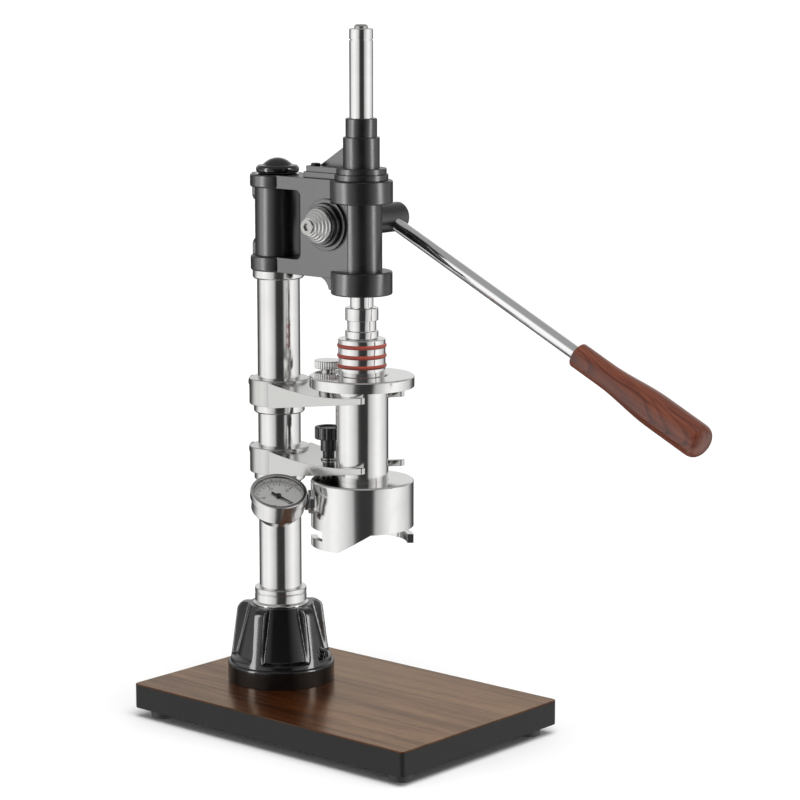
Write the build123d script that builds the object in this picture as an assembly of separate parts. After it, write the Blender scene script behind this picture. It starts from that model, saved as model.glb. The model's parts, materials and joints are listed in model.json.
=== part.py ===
from build123d import *
import math
import os

# Manual lever espresso press, in millimetres.
# The origin is on the table under the board's centre, +X points to the front and +Z up.

# Fits and cuts
overrun = 1.0
fixed_gap = 0.05
running_gap = 0.06
moving_gap = 0.3
edge_round = 0.8

# Base board and feet
board_length = 300.0
board_width = 195.0
board_thickness = 20.0
veneer_thickness = 1.0
board_corner_radius = 4.0
board_edge_round = 1.0
veneer_edge_round = 0.6
foot_height = 8.0
foot_radius = 10.5
foot_taper = 0.9
foot_inset = 17.0
foot_recess_radius = 5.0
foot_recess_depth = 4.0
foot_screw_radius = 2.0
foot_screw_head_radius = 4.2
foot_screw_head_height = 2.4
foot_screw_grip = 12.0

# Column and the two main axes
column_setback = 71.0
reach = 92.7
column_radius = 17.8
column_wall = 2.5
collar_height = 7.0
collar_wall = 3.5
collar_chamfer = 1.2

# Ribbed base socket
socket_height = 65.0
socket_foot_wall = 27.4
socket_ring_height = 18.0
socket_ring_round = 2.5
socket_shoulder_wall = 18.7
socket_shoulder_round = 5.0
socket_rim_wall = 9.0
socket_core_foot_inset = 5.5
socket_floor = 6.0
socket_ribs = 5
socket_rib_width = 8.5
socket_rib_inset = 0.6
socket_rib_start = -77.0
socket_root_round = 2.2
socket_crest_round = 1.4
socket_bolt_count = 4
socket_bolt_turn = 30.0
socket_bolt_wall = 17.2
socket_bolt_radius = 3.0
socket_bolt_head_radius = 5.0
socket_bolt_head_height = 6.0
socket_bolt_grip = 12.0
set_screw_turn = 22.0
set_screw_height = 21.0
set_screw_boss_radius = 7.0
set_screw_radius = 4.0
set_screw_recess = 1.5
set_screw_key_flats = 4.0
set_screw_key_depth = 3.0
ferrule_height = 14.5
ferrule_wall = 4.0
ferrule_groove_height = 9.5
ferrule_groove_width = 1.0
ferrule_groove_depth = 0.5
ferrule_lip = 1.8
ferrule_lip_height = 3.0

# Cylinder, flange and group head
cylinder_bore_radius = 20.3
cylinder_wall = 1.2
mouth_chamfer = 0.9
flange_thickness = 9.2
flange_chamfer = 1.0
group_bottom_height = 130.0
group_height = 54.0
group_edge_chamfer = 1.2
flange_bottom_height = 261.0
cylinder_seat_depth = 18.0
spigot_height = 4.0
spigot_radius = 18.8
clamp_stud_radius = 3.0
clamp_screw_land = 12.5
flange_rim = 2.8
group_rim = 2.2

# Bayonet socket for the filter holder
socket_bore_radius = 36.0
bore_wall_length = 7.7
skirt_relief = 0.6
bayonet_entry_depth = 15.3
bayonet_slot_height = 7.8
bayonet_ramp_start = -77.0
bayonet_entry_start = -39.0
bayonet_entry_end = 41.0
bayonet_slot_end = 81.0
bayonet_count = 2
gasket_height = 8.0
gasket_width = 7.4
gasket_groove = 0.8
gasket_lip = 1.0
screen_thickness = 1.2
screen_holes_per_ring = 12
screen_hole_radius = 1.0
block_thickness = 4.0
block_holes = 8
block_hole_radius = 1.5
block_hole_circle = 13.0
screen_hole_circles = (9.0, 15.0, 21.0)
screen_screw_radius = 2.5
screen_screw_head_radius = 4.5
screen_screw_head_height = 2.0
screen_screw_key_flats = 3.0
screen_screw_key_depth = 1.2

# Forked arms
arm_hub_height = 22.0
arm_hub_wall = 7.2
arm_top_height = 201.0
arm_spacing = 57.4
arm_body_start = 12.0
arm_body_height = 21.4
arm_waist_height = 16.4
arm_tip_top = 20.2
arm_tip_bottom = 15.2
arm_tip_reach = 23.3
arm_prong_wall = 5.2
arm_root_half_width = 26.4
arm_tip_round = 1.6
arm_edge_round = 0.9
arm_pad_radius = 8.0
arm_waist_share = 0.45
arm_screw_radius = 3.0
arm_screw_head_radius = 5.0
arm_screw_head_height = 6.0
arm_screw_key_flats = 5.0
arm_screw_key_depth = 3.0
arm_screw_drop = 6.5

# Fluted thumb knob on the lower arm and knurled screw on the flange
knob_radius = 11.5
knob_height = 10.0
knob_neck_radius = 6.7
knob_neck_height = 10.0
knob_foot_radius = 4.9
knob_foot_height = 6.0
knob_flutes = 12
knob_flute_radius = 1.6
knob_dish_depth = 1.0
knob_dish_radius = 8.0
knob_washer_radius = 6.5
knob_washer_height = 1.2
knob_stud_grip = 14.0
thumb_radius = 11.4
thumb_height = 6.6
thumb_neck_radius = 6.0
thumb_neck_height = 1.8
thumb_knurls = 36
thumb_knurl_radius = 0.7
thumb_stud_grip = 10.0

# Pressure gauge
gauge_turn = -128.0
gauge_tilt = 26.0
gauge_distance = 69.7
gauge_stem_height = 166.5
gauge_case_radius = 21.6
gauge_case_wall = 1.4
gauge_case_depth = 15.0
gauge_back_depth = 9.0
gauge_back_radius = 14.5
gauge_bezel_radius = 23.2
gauge_bezel_height = 6.0
gauge_bezel_lip = 2.8
gauge_face_offset = 12.5
gauge_glass_thickness = 1.6
gauge_glass_gap = 4.4
gauge_dial_thickness = 0.8
gauge_needle_lift = 1.4
gauge_needle_length = 15.0
gauge_needle_tail = 7.0
gauge_needle_width = 1.8
gauge_needle_tip_width = 0.6
gauge_needle_thickness = 0.6
gauge_needle_hub_radius = 2.2
gauge_needle_hub_height = 1.4
gauge_spindle_radius = 0.9
gauge_spindle_depth = 5.0
gauge_zero_turn = -45.0
gauge_pipe_radius = 4.6
gauge_hex_flats = 12.0
gauge_hex_length = 3.0
gauge_thread_length = 9.0
gauge_port_radius = 1.5
lock_nut_flats = 18.0
lock_nut_length = 3.4
lock_nut_face_radius = 9.6

# Head casting with the rack housing
head_bottom_height = 349.0
head_top_height = 428.7
head_lower_ring_height = 12.4
head_upper_ring_height = 10.7
head_ring_wall = 5.0
head_half_width = 17.0
head_block_back = 51.6
head_window_round = 5.0
head_edge_round = 1.6
housing_radius = 16.7
housing_upper_radius = 25.4
housing_upper_height = 18.6
housing_lower_radius = 25.0
housing_lower_bottom = 336.3
housing_lower_top = 355.3
housing_ring_round = 1.4
housing_fillet = 10.0
housing_fillet_curve = 13.0
housing_fillet_half_width = 13.0
pinion_height = 392.3
boss_radius = 21.0
boss_raise = 2.5
head_boss_reach = 23.6
head_boss_half_width = 6.0
head_boss_rise = 13.0
head_screw_radius = 3.0
head_screw_recess = 1.0
head_screw_key_flats = 3.0
head_screw_key_depth = 2.5
column_sleeve_wall = 1.1
cap_disc_height = 7.0
cap_round = 2.8
cap_button_radius = 11.0
cap_button_height = 6.0
cap_plug_depth = 12.0

# Rack, pinion and lever
gear_module = 1.5
pinion_teeth = 22
pressure_angle = 20.0
gear_backlash = 0.2
dedendum_share = 1.25
flank_shares = (0, 0.35, 0.7, 1)
rack_radius = 9.5
rack_tip_offset = 7.2
rack_stroke = 60.0
rack_rise = 7.3
rack_mesh_margin = 11.0
rack_top_height = 540.0
rack_cap_height = 9.4
rack_cap_neck = 0.9
rack_cap_neck_depth = 1.0
rack_cap_spigot_radius = 5.0
rack_cap_spigot_length = 8.0
rack_screw_radius = 2.5
rack_screw_head_radius = 5.6
rack_screw_head_height = 3.2
rack_screw_length = 14.0
bush_wall = 2.4
bush_length = 15.0
pinion_half_width = 12.0
journal_radius = 10.0
near_bush_wall = 3.0
near_bush_length = 4.0
cover_flange_height = 2.6
stub_radius = 7.0
cap_thread_radius = 17.4
cap_thread_length = 7.0
cap_sleeve_radius = 15.4
cap_sleeve_length = 3.4
boss_recess_depth = 3.2
end_cap_radius = 14.0
end_cap_nose_radius = 7.0
end_cap_depth = 12.0
end_cap_rim = 2.4
end_cap_steps = 4
end_cap_ledge_share = 0.8
end_cap_slope_share = 0.45
end_screw_head_radius = 6.2
end_screw_head_height = 2.4
end_screw_radius = 4.0
end_screw_length = 16.0
end_screw_key_flats = 6.0
end_screw_key_depth = 1.8
hub_radius = 12.2
hub_end_beyond_rod = 14.8
hub_round = 2.0
hub_collar_radius = 15.5
hub_collar_length = 9.0
hub_stub_radius = 8.0
hub_stub_length = 25.0
hub_screw_radius = 4.0
hub_screw_key_flats = 4.0
hub_screw_key_depth = 3.0
hub_screw_recess = 1.0
lever_plane = 57.0
lever_drop = 26.2
lever_splay = 1.5
lever_rod_radius = 5.6
lever_length = 351.0
lever_tail = 8.0
grip_length = 134.5
grip_socket_depth = 90.0
grip_start_radius = 9.8
grip_waist_radius = 10.0
grip_swell_radius = 14.3
grip_end_radius = 13.3
grip_dome_height = 5.5
grip_waist_share = 0.22
grip_rise_share = 0.45
grip_swell_share = 0.70
grip_start_round = 1.2

# Rack guide on top of the head
guide_layer_height = 4.75
guide_ring_radius = 20.3
guide_plate_radius = 21.7
guide_tail_length = 52.0
guide_tail_half_width = 13.5
guide_tail_step = 2.0
guide_tail_corner = 2.0
guide_tube_radius = 14.8
guide_tube_height = 25.0
guide_neck_radius = 12.7
guide_neck_height = 15.0
guide_gusset_length = 29.0
guide_gusset_height = 18.0
guide_gusset_half_width = 2.5
guide_screw_setback = 43.0
guide_screw_spread = 7.5
guide_screw_radius = 2.0
guide_screw_head_radius = 3.8
guide_screw_head_height = 2.2
guide_screw_grip = 8.0
guide_screw_key_flats = 2.5
guide_screw_key_depth = 1.2

# Piston
coupler_radius = 13.5
coupler_groove_radius = 11.8
coupler_top_height = 325.7
coupler_upper_band = 10.6
coupler_groove_band = 8.1
coupler_lower_band = 6.7
coupler_pin_radius = 5.0
coupler_pin_length = 12.0
piston_clearance = 1.1
piston_length = 38.0
piston_round = 0.8
piston_pin_length = 10.0
seal_count = 3
seal_section_radius = 1.8
seal_first_drop = 5.6
seal_pitch = 8.2
seal_bore_gap = 0.1

# Places worked out from the sizes above
on_base = (Align.CENTER, Align.CENTER, Align.MIN)
board_top = foot_height + board_thickness + veneer_thickness
column_x = -column_setback
group_x = column_x + reach
column_hole = column_radius + fixed_gap
socket_radius = column_radius + socket_foot_wall
socket_shoulder_radius = column_radius + socket_shoulder_wall
socket_bolt_circle = column_radius + socket_bolt_wall
cylinder_radius = cylinder_bore_radius + cylinder_wall
piston_radius = cylinder_bore_radius - piston_clearance
clamp_setback = cylinder_radius + clamp_screw_land + clamp_stud_radius
flange_radius = clamp_setback + clamp_stud_radius + flange_rim
group_radius = clamp_setback + clamp_stud_radius + group_rim
group_bottom = board_top + group_bottom_height
group_top = group_bottom + group_height
flange_bottom = board_top + flange_bottom_height
flange_top = flange_bottom + flange_thickness
skirt_top = group_bottom + bayonet_entry_depth
bore_top = skirt_top + bore_wall_length
roof = bore_top + gasket_height
cylinder_seat = group_top - cylinder_seat_depth
block_radius = socket_bore_radius - gasket_width - fixed_gap
lower_arm_top = board_top + arm_top_height
upper_arm_top = lower_arm_top + arm_spacing
clamp_x = group_x - clamp_setback
head_bottom = board_top + head_bottom_height
head_top = board_top + head_top_height
pinion_pitch_radius = gear_module * pinion_teeth / 2
rack_pitch_offset = rack_tip_offset - gear_module
pinion_x = group_x - rack_pitch_offset - pinion_pitch_radius
pinion_z = board_top + pinion_height
pinion_tip_radius = pinion_pitch_radius + gear_module
rack_hole = rack_radius + running_gap
housing_bottom = board_top + housing_lower_bottom
guide_base = head_top + guide_layer_height
guide_top = guide_base + guide_layer_height + guide_tube_height + guide_neck_height
rack_top = board_top + rack_top_height
rack_bottom = board_top + coupler_top_height
piston_top = rack_bottom - coupler_upper_band - coupler_groove_band - coupler_lower_band
piston_bottom = piston_top - piston_length
boss_face = head_half_width + boss_raise
hub_start = boss_face + cover_flange_height + moving_gap
hub_end = lever_plane + hub_end_beyond_rod
stem_z = board_top + gauge_stem_height

# Heights along the gauge's own axis, from the stem's centre line
gauge_front = gauge_face_offset
gauge_glass_top = gauge_front - edge_round
gauge_glass_low = gauge_glass_top - gauge_glass_thickness
gauge_dial_top = gauge_glass_low - gauge_glass_gap


def upright(radius, low, high, x=0, y=0):
    return Pos(x, y, low) * Cylinder(radius, high - low, align=on_base)


def crosswise(radius, start, end, x=0, z=0):
    return Pos(x, start, z) * Rot(X=-90) * Cylinder(radius, end - start, align=on_base)


def tube(outer, inner, low, high, x=0, y=0):
    return upright(outer, low, high, x, y) - upright(inner, low - overrun, high + overrun, x, y)


def turned(points):
    return revolve(make_face(Plane.XZ * Polyline(*points, close=True)), Axis.Z)


def hexagon(flats, length):
    return extrude(RegularPolygon(flats / 2, 6, major_radius=False), length)


def side_slab(outline, half_width):
    # An outline in the X-Z plane, thickened to both sides of it.
    return extrude(Plane.XZ * make_face(outline), half_width, both=True)


def round_ends(solid, radius, which=(0, -1)):
    # Rounds the outermost circles at the low end, the high end or both ends along Z.
    levels = solid.edges().filter_by(GeomType.CIRCLE).group_by(Axis.Z)
    chosen = [levels[i].sort_by(SortBy.RADIUS)[-1] for i in which]
    return fillet(chosen, radius)


def cap_screw(radius, length, head_radius, head_height, key_flats, key_depth):
    # A socket-head screw whose seat is at z = 0, with the head above it.
    head = upright(head_radius, 0, head_height)
    shank = upright(radius, -length, overrun)
    key = Pos(0, 0, head_height - key_depth) * hexagon(key_flats, key_depth + overrun)
    return head + shank - key


def grub_screw(radius, length, key_flats, key_depth):
    body = upright(radius, 0, length)
    return body - Pos(0, 0, length - key_depth) * hexagon(key_flats, key_depth + overrun)


def foot_places():
    across = board_length / 2 - foot_inset
    deep = board_width / 2 - foot_inset
    return [(i * across, j * deep) for i in (-1, 1) for j in (-1, 1)]


def socket_bolt_places():
    places = []
    for i in range(socket_bolt_count):
        turn = math.radians(socket_bolt_turn + 360 * i / socket_bolt_count)
        x = column_x + socket_bolt_circle * math.cos(turn)
        places.append((x, socket_bolt_circle * math.sin(turn)))
    return places


def base_board():
    outline = RectangleRounded(board_length, board_width, board_corner_radius)
    slab = extrude(outline, board_thickness)
    slab = Pos(0, 0, foot_height) * fillet(slab.edges().group_by(Axis.Z)[0], board_edge_round)
    for x, y in foot_places():
        depth = foot_height + foot_screw_grip
        slab -= upright(foot_screw_radius + fixed_gap, foot_height - overrun, depth, x, y)
    for x, y in socket_bolt_places():
        pocket = foot_height + socket_bolt_head_height
        slab -= upright(socket_bolt_head_radius + fixed_gap, foot_height - overrun, pocket, x, y)
        slab -= upright(socket_bolt_radius + fixed_gap, foot_height, board_top, x, y)
    return slab


def board_veneer():
    outline = RectangleRounded(board_length, board_width, board_corner_radius)
    sheet = extrude(outline, veneer_thickness)
    sheet = fillet(sheet.edges().group_by(Axis.Z)[-1], veneer_edge_round)
    sheet = Pos(0, 0, foot_height + board_thickness) * sheet
    for x, y in socket_bolt_places():
        sheet -= upright(socket_bolt_radius + fixed_gap, foot_height, board_top + overrun, x, y)
    return sheet


def rubber_feet():
    recess = foot_recess_depth
    profile = [
        (foot_screw_radius + fixed_gap, foot_height),
        (foot_screw_radius + fixed_gap, recess),
        (foot_recess_radius, recess),
        (foot_recess_radius, 0),
        (foot_radius - foot_taper, 0),
        (foot_radius, foot_height),
    ]
    foot = turned(profile)
    return [Pos(x, y, 0) * foot for x, y in foot_places()]


def foot_screws():
    seat = foot_recess_depth
    head = upright(foot_screw_head_radius, seat - foot_screw_head_height, seat)
    screw = head + upright(foot_screw_radius, seat, foot_height + foot_screw_grip)
    return [Pos(x, y, 0) * screw for x, y in foot_places()]


def base_socket():
    floor = board_top + socket_floor
    ring_top = board_top + socket_ring_height
    top = board_top + socket_height
    rim = socket_radius - socket_ring_round - socket_rib_inset
    foot = socket_radius - socket_core_foot_inset
    core_top = column_radius + socket_rim_wall
    ring = round_ends(upright(socket_radius, board_top, ring_top), socket_ring_round, (-1,))
    shell = turned([(0, board_top), (rim, board_top), (rim, ring_top),
                    (socket_shoulder_radius, top), (0, top)])
    shell = round_ends(shell, socket_shoulder_round, (-1,))
    core = turned([(0, board_top), (foot, board_top), (foot, ring_top), (core_top, top), (0, top)])
    slabs = Part()
    for i in range(socket_ribs):
        turn = socket_rib_start + 360 * i / socket_ribs
        slab = Box(socket_radius, socket_rib_width, socket_height, align=(Align.MIN, Align.CENTER, Align.MIN))
        slabs += Rot(Z=turn) * Pos(0, 0, board_top) * slab
    middle = (rim + foot + core_top + socket_shoulder_radius) / 4
    body = soften_ribs(core + (shell & slabs), middle) + ring
    boss = Pos(0, 0, board_top + set_screw_height) * Rot(Y=90) * upright(set_screw_boss_radius, 0, rim)
    body += Rot(Z=set_screw_turn) * boss
    hole = Pos(0, 0, board_top + set_screw_height) * Rot(Y=90) * upright(
        set_screw_radius + fixed_gap, 0, socket_radius + overrun)
    body -= Rot(Z=set_screw_turn) * hole
    body -= upright(column_hole, floor, top + overrun)
    for x, y in socket_bolt_places():
        depth = board_top + socket_bolt_grip
        body -= upright(socket_bolt_radius + fixed_gap, board_top - overrun, depth, x - column_x, y)
    return Pos(column_x, 0, 0) * body


def soften_ribs(body, middle):
    # A rib's flat side meets a cone in a hyperbola: its root lies inside the middle radius, its crest outside.
    for side, radius in ((-1, socket_root_round), (1, socket_crest_round)):
        edges = []
        for edge in body.edges().filter_by(GeomType.HYPERBOLA):
            away = math.hypot(edge.center().X, edge.center().Y)
            if side * (away - middle) > 0 and edge.length > socket_height / 2:
                edges.append(edge)
        body = fillet(edges, radius)
    return body


def socket_bolts():
    seat = foot_height + socket_bolt_head_height
    head = upright(socket_bolt_head_radius, foot_height, seat)
    bolt = head + upright(socket_bolt_radius, seat, board_top + socket_bolt_grip)
    return [Pos(x, y, 0) * bolt for x, y in socket_bolt_places()]


def socket_set_screw():
    length = socket_radius - socket_ring_round - set_screw_recess - column_hole
    screw = grub_screw(set_screw_radius, length, set_screw_key_flats, set_screw_key_depth)
    screw = Pos(0, 0, board_top + set_screw_height) * Rot(Y=90) * Pos(0, 0, column_hole) * screw
    return Pos(column_x, 0, 0) * Rot(Z=set_screw_turn) * screw


def base_ferrule():
    low = board_top + socket_height
    outer = column_radius + ferrule_wall
    lip = outer + ferrule_lip
    ring = turned([(column_hole, low), (lip, low), (lip, low + ferrule_lip_height / 2),
                   (outer, low + ferrule_lip_height), (outer, low + ferrule_height),
                   (column_hole, low + ferrule_height)])
    ring = round_ends(ring, edge_round, (-1,))
    groove = low + ferrule_groove_height
    ring -= tube(lip, outer - ferrule_groove_depth, groove, groove + ferrule_groove_width)
    return Pos(column_x, 0, 0) * ring


def column_tube():
    low = board_top + socket_floor
    return tube(column_radius, column_radius - column_wall, low, head_top, column_x)


def column_cap():
    disc = round_ends(upright(column_radius, head_top, head_top + cap_disc_height), cap_round, (-1,))
    top = head_top + cap_disc_height + cap_button_height
    button = round_ends(upright(cap_button_radius, head_top, top), cap_button_height - edge_round, (-1,))
    plug = upright(column_radius - column_wall - fixed_gap, head_top - cap_plug_depth, head_top + overrun)
    return Pos(column_x, 0, 0) * (disc + button + plug)


def column_sleeve():
    low = head_bottom + head_lower_ring_height
    high = head_top - head_upper_ring_height
    return tube(column_hole + column_sleeve_wall, column_hole, low, high, column_x)


def stop_collar(top):
    outer = column_radius + collar_wall
    ring = upright(outer, top - collar_height, top)
    ring = chamfer(ring.edges().group_by(Axis.Z)[0], collar_chamfer)
    return Pos(column_x, 0, 0) * (ring - upright(column_hole, top - collar_height - overrun, top + overrun))


def arm_blank(top):
    # A hub on the column and a fork whose side view sags on top and rises underneath.
    low = top - arm_hub_height
    tip = reach + arm_tip_reach
    half_slot = cylinder_radius + moving_gap
    half_tip = half_slot + arm_prong_wall
    waist = arm_body_start + (tip - arm_body_start) * arm_waist_share
    side = Curve() + [
        Line((arm_body_start, low), (tip, low + arm_tip_bottom)),
        Line((tip, low + arm_tip_bottom), (tip, low + arm_tip_top)),
        ThreePointArc((tip, low + arm_tip_top), (waist, low + arm_waist_height),
                      (arm_body_start, low + arm_body_height)),
        Line((arm_body_start, low + arm_body_height), (arm_body_start, low)),
    ]
    body = side_slab(side, half_tip + arm_root_half_width)
    plan = Polyline((arm_body_start, -arm_root_half_width), (tip, -half_tip), (tip, half_tip),
                    (arm_body_start, arm_root_half_width), close=True)
    body &= Pos(0, 0, low) * extrude(make_face(plan), arm_hub_height)
    slot = upright(half_slot, low - overrun, top + overrun, reach)
    slot += Pos(reach, 0, low - overrun) * Box(
        arm_tip_reach + overrun, 2 * half_slot, arm_hub_height + 2 * overrun,
        align=(Align.MIN, Align.CENTER, Align.MIN))
    body -= slot
    tip_edges = body.edges().filter_by(Axis.Z).group_by(Axis.X)[-1]
    body = fillet(tip_edges, arm_tip_round)
    hub = round_ends(upright(column_radius + arm_hub_wall, low, top), arm_edge_round)
    return hub + body


def arm_bores(top):
    low = top - arm_hub_height
    cut = upright(column_hole, low - overrun, top + overrun)
    cut += upright(clamp_stud_radius + fixed_gap, low - overrun, top + flange_thickness,
                   reach - clamp_setback)
    screw = Pos(0, 0, top - arm_screw_drop) * Rot(Y=-90) * upright(
        arm_screw_radius + fixed_gap, 0, column_radius + arm_hub_wall + overrun)
    return cut + screw


def lower_arm():
    # A pad under the fork meets the group head where the knob pulls them together.
    pad = upright(arm_pad_radius, group_top, lower_arm_top - arm_hub_height + arm_waist_height - overrun,
                  reach - clamp_setback)
    pad -= upright(cylinder_radius + moving_gap, group_top - overrun, lower_arm_top, reach)
    return Pos(column_x, 0, 0) * (arm_blank(lower_arm_top) + pad - arm_bores(lower_arm_top))


def upper_arm():
    # A pad on top of the fork carries the flange of the cylinder.
    pad = upright(arm_pad_radius, upper_arm_top - arm_hub_height + arm_tip_bottom, flange_bottom,
                  reach - clamp_setback)
    pad -= upright(cylinder_radius + moving_gap, upper_arm_top - arm_hub_height, flange_top, reach)
    return Pos(column_x, 0, 0) * (arm_blank(upper_arm_top) + pad - arm_bores(upper_arm_top))


def arm_clamp_screws():
    screw = cap_screw(arm_screw_radius, arm_hub_wall - fixed_gap, arm_screw_head_radius,
                      arm_screw_head_height, arm_screw_key_flats, arm_screw_key_depth)
    seat = column_radius + arm_hub_wall
    tops = (lower_arm_top, upper_arm_top)
    return [Pos(column_x - seat, 0, top - arm_screw_drop) * Rot(Y=-90) * screw for top in tops]


def brew_cylinder():
    wall = tube(cylinder_radius, cylinder_bore_radius, cylinder_seat, flange_top)
    mouth = wall.edges().filter_by(GeomType.CIRCLE).group_by(Axis.Z)[-1].sort_by(SortBy.RADIUS)[0]
    return Pos(group_x, 0, 0) * chamfer(mouth, mouth_chamfer)


def cylinder_flange():
    disc = upright(flange_radius, flange_bottom, flange_top)
    disc = chamfer(disc.edges().group_by(Axis.Z)[-1], flange_chamfer)
    disc -= upright(cylinder_radius + fixed_gap, flange_bottom - overrun, flange_top + overrun)
    disc -= upright(clamp_stud_radius + running_gap, flange_bottom - overrun, flange_top + overrun,
                    -clamp_setback)
    return Pos(group_x, 0, 0) * disc


def arc_cut(inner, outer, low, high, start, end):
    # A block of wall between two heights and two angles about the group's axis.
    outline = Polyline((inner, low), (outer, low), (outer, high), (inner, high), close=True)
    return Rot(Z=start) * revolve(make_face(Plane.XZ * outline), Axis.Z, revolution_arc=end - start)


def bayonet_openings():
    # Each opening is an entry gap with a slanted lead-in and a slot that runs on above a ledge.
    outer = group_radius + overrun
    inner = socket_bore_radius - overrun
    low = group_bottom - overrun
    slot_low = skirt_top - bayonet_slot_height
    entry = arc_cut(inner, outer, low, skirt_top, bayonet_entry_start, bayonet_entry_end)
    slot = arc_cut(inner, outer, slot_low, skirt_top, bayonet_entry_end - overrun, bayonet_slot_end)
    middle = (bayonet_ramp_start + bayonet_entry_start) / 2
    spread = group_radius * math.sin(math.radians(bayonet_entry_start - bayonet_ramp_start) / 2)
    ramp = Polyline((-spread, low), (-spread, group_bottom), (spread, skirt_top), (spread, low), close=True)
    ramp = extrude(Plane.YZ * make_face(ramp), outer)
    ramp -= upright(inner, low - overrun, skirt_top + overrun)
    cutters = [entry, slot, Rot(Z=middle) * ramp]
    turns = [360 * i / bayonet_count for i in range(bayonet_count)]
    return [Rot(Z=turn) * cutter for turn in turns for cutter in cutters]


def group_head():
    chamber = upright(group_radius, group_bottom, group_top)
    chamber = chamfer(chamber.edges().group_by(Axis.Z)[-1], group_edge_chamfer)
    chamber -= upright(cylinder_radius + fixed_gap, cylinder_seat, group_top + overrun)
    chamber -= upright(spigot_radius + fixed_gap, roof - overrun, cylinder_seat + overrun)
    chamber -= upright(socket_bore_radius + gasket_groove, bore_top, roof)
    chamber -= upright(socket_bore_radius, skirt_top - overrun, bore_top + overrun)
    chamber -= upright(socket_bore_radius + skirt_relief, group_bottom - overrun, skirt_top)
    for opening in bayonet_openings():
        chamber -= opening
    stud_low = group_top - knob_stud_grip
    chamber -= upright(clamp_stud_radius + running_gap, stud_low, group_top + overrun, -clamp_setback)
    toward_gauge = Pos(0, 0, stem_z) * Rot(Z=gauge_turn) * Rot(Y=90)
    nut_face = group_radius - stem_nut_depth()
    chamber -= toward_gauge * upright(lock_nut_face_radius + moving_gap, nut_face, group_radius + overrun)
    thread_end = nut_face - gauge_thread_length
    chamber -= toward_gauge * upright(gauge_pipe_radius + fixed_gap, thread_end, group_radius)
    chamber -= toward_gauge * upright(gauge_port_radius, cylinder_radius, group_radius - gauge_thread_length)
    return Pos(group_x, 0, 0) * chamber


def stem_nut_depth():
    # How far the flat for the lock nut is milled into the round of the group head.
    return group_radius - math.sqrt(group_radius ** 2 - lock_nut_face_radius ** 2)


def group_gasket():
    inner = block_radius + fixed_gap
    ring = turned([(inner, bore_top), (socket_bore_radius - gasket_lip, bore_top),
                   (socket_bore_radius + gasket_groove - fixed_gap, bore_top + gasket_lip),
                   (socket_bore_radius + gasket_groove - fixed_gap, roof), (inner, roof)])
    return Pos(group_x, 0, 0) * ring


def dispersion_block():
    low = roof - block_thickness
    block = upright(block_radius - fixed_gap, low, roof)
    block += upright(spigot_radius, roof - overrun, roof + spigot_height)
    for i in range(block_holes):
        turn = Rot(Z=360 * i / block_holes)
        hole = upright(block_hole_radius, low - overrun, roof + spigot_height + overrun, block_hole_circle)
        block -= turn * hole
    block -= upright(screen_screw_radius + fixed_gap, low - overrun, roof + spigot_height + overrun)
    return Pos(group_x, 0, 0) * block


def shower_screen():
    high = roof - block_thickness
    low = high - screen_thickness
    plate = upright(block_radius - fixed_gap, low, high)
    for circle in screen_hole_circles:
        for i in range(screen_holes_per_ring):
            hole = upright(screen_hole_radius, low - overrun, high + overrun, circle)
            plate -= Rot(Z=360 * i / screen_holes_per_ring) * hole
    plate -= upright(screen_screw_radius + fixed_gap, low - overrun, high + overrun)
    return Pos(group_x, 0, 0) * plate


def screen_screw():
    seat = roof - block_thickness - screen_thickness
    screw = cap_screw(screen_screw_radius, block_thickness + screen_thickness + spigot_height,
                      screen_screw_head_radius, screen_screw_head_height,
                      screen_screw_key_flats, screen_screw_key_depth)
    return Pos(group_x, 0, seat) * Rot(X=180) * screw


def fluted(solid, radius, count, flute_radius, low, high):
    for i in range(count):
        flute = upright(flute_radius, low - overrun, high + overrun, radius + flute_radius / 2)
        solid -= Rot(Z=360 * i / count) * flute
    return solid


def knob_seat():
    # The knob's washer lies on the sagging top of the lower arm.
    tip = reach + arm_tip_reach
    waist = arm_body_start + (tip - arm_body_start) * arm_waist_share
    across = reach - clamp_setback
    left = (arm_body_start, arm_body_height)
    low = (waist, arm_waist_height)
    right = (tip, arm_tip_top)
    arc = ThreePointArc(left, low, right)
    centre = arc.arc_center
    drop = math.sqrt(arc.radius ** 2 - (across - knob_washer_radius - centre.X) ** 2)
    other = math.sqrt(arc.radius ** 2 - (across + knob_washer_radius - centre.X) ** 2)
    return lower_arm_top - arm_hub_height + centre.Y - min(drop, other)


def arm_knob():
    seat = knob_seat() + knob_washer_height
    neck = seat + knob_foot_height
    head = neck + knob_neck_height
    top = head + knob_height
    grip = round_ends(upright(knob_radius, head, top), edge_round)
    grip = fluted(grip, knob_radius, knob_flutes, knob_flute_radius, head, top)
    grip -= upright(knob_dish_radius, top - knob_dish_depth, top + overrun)
    knob = grip + upright(knob_neck_radius, neck, head + overrun)
    knob += upright(knob_foot_radius, seat, neck + overrun)
    knob -= upright(clamp_stud_radius + fixed_gap, seat - overrun, head)
    return Pos(clamp_x, 0, 0) * knob


def arm_knob_stud():
    seat = knob_seat()
    head = seat + knob_washer_height + knob_foot_height + knob_neck_height
    stud = upright(clamp_stud_radius, group_top - knob_stud_grip + overrun, head)
    stud += upright(knob_washer_radius, seat, seat + knob_washer_height)
    return Pos(clamp_x, 0, 0) * stud


def flange_screw():
    neck = flange_top + thumb_neck_height
    top = neck + thumb_height
    head = round_ends(upright(thumb_radius, neck, top), edge_round)
    head = fluted(head, thumb_radius, thumb_knurls, thumb_knurl_radius, neck, top)
    screw = head + upright(thumb_neck_radius, flange_top, neck + overrun)
    screw += upright(clamp_stud_radius, flange_bottom - thumb_stud_grip, flange_top + overrun)
    return Pos(clamp_x, 0, 0) * screw


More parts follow.
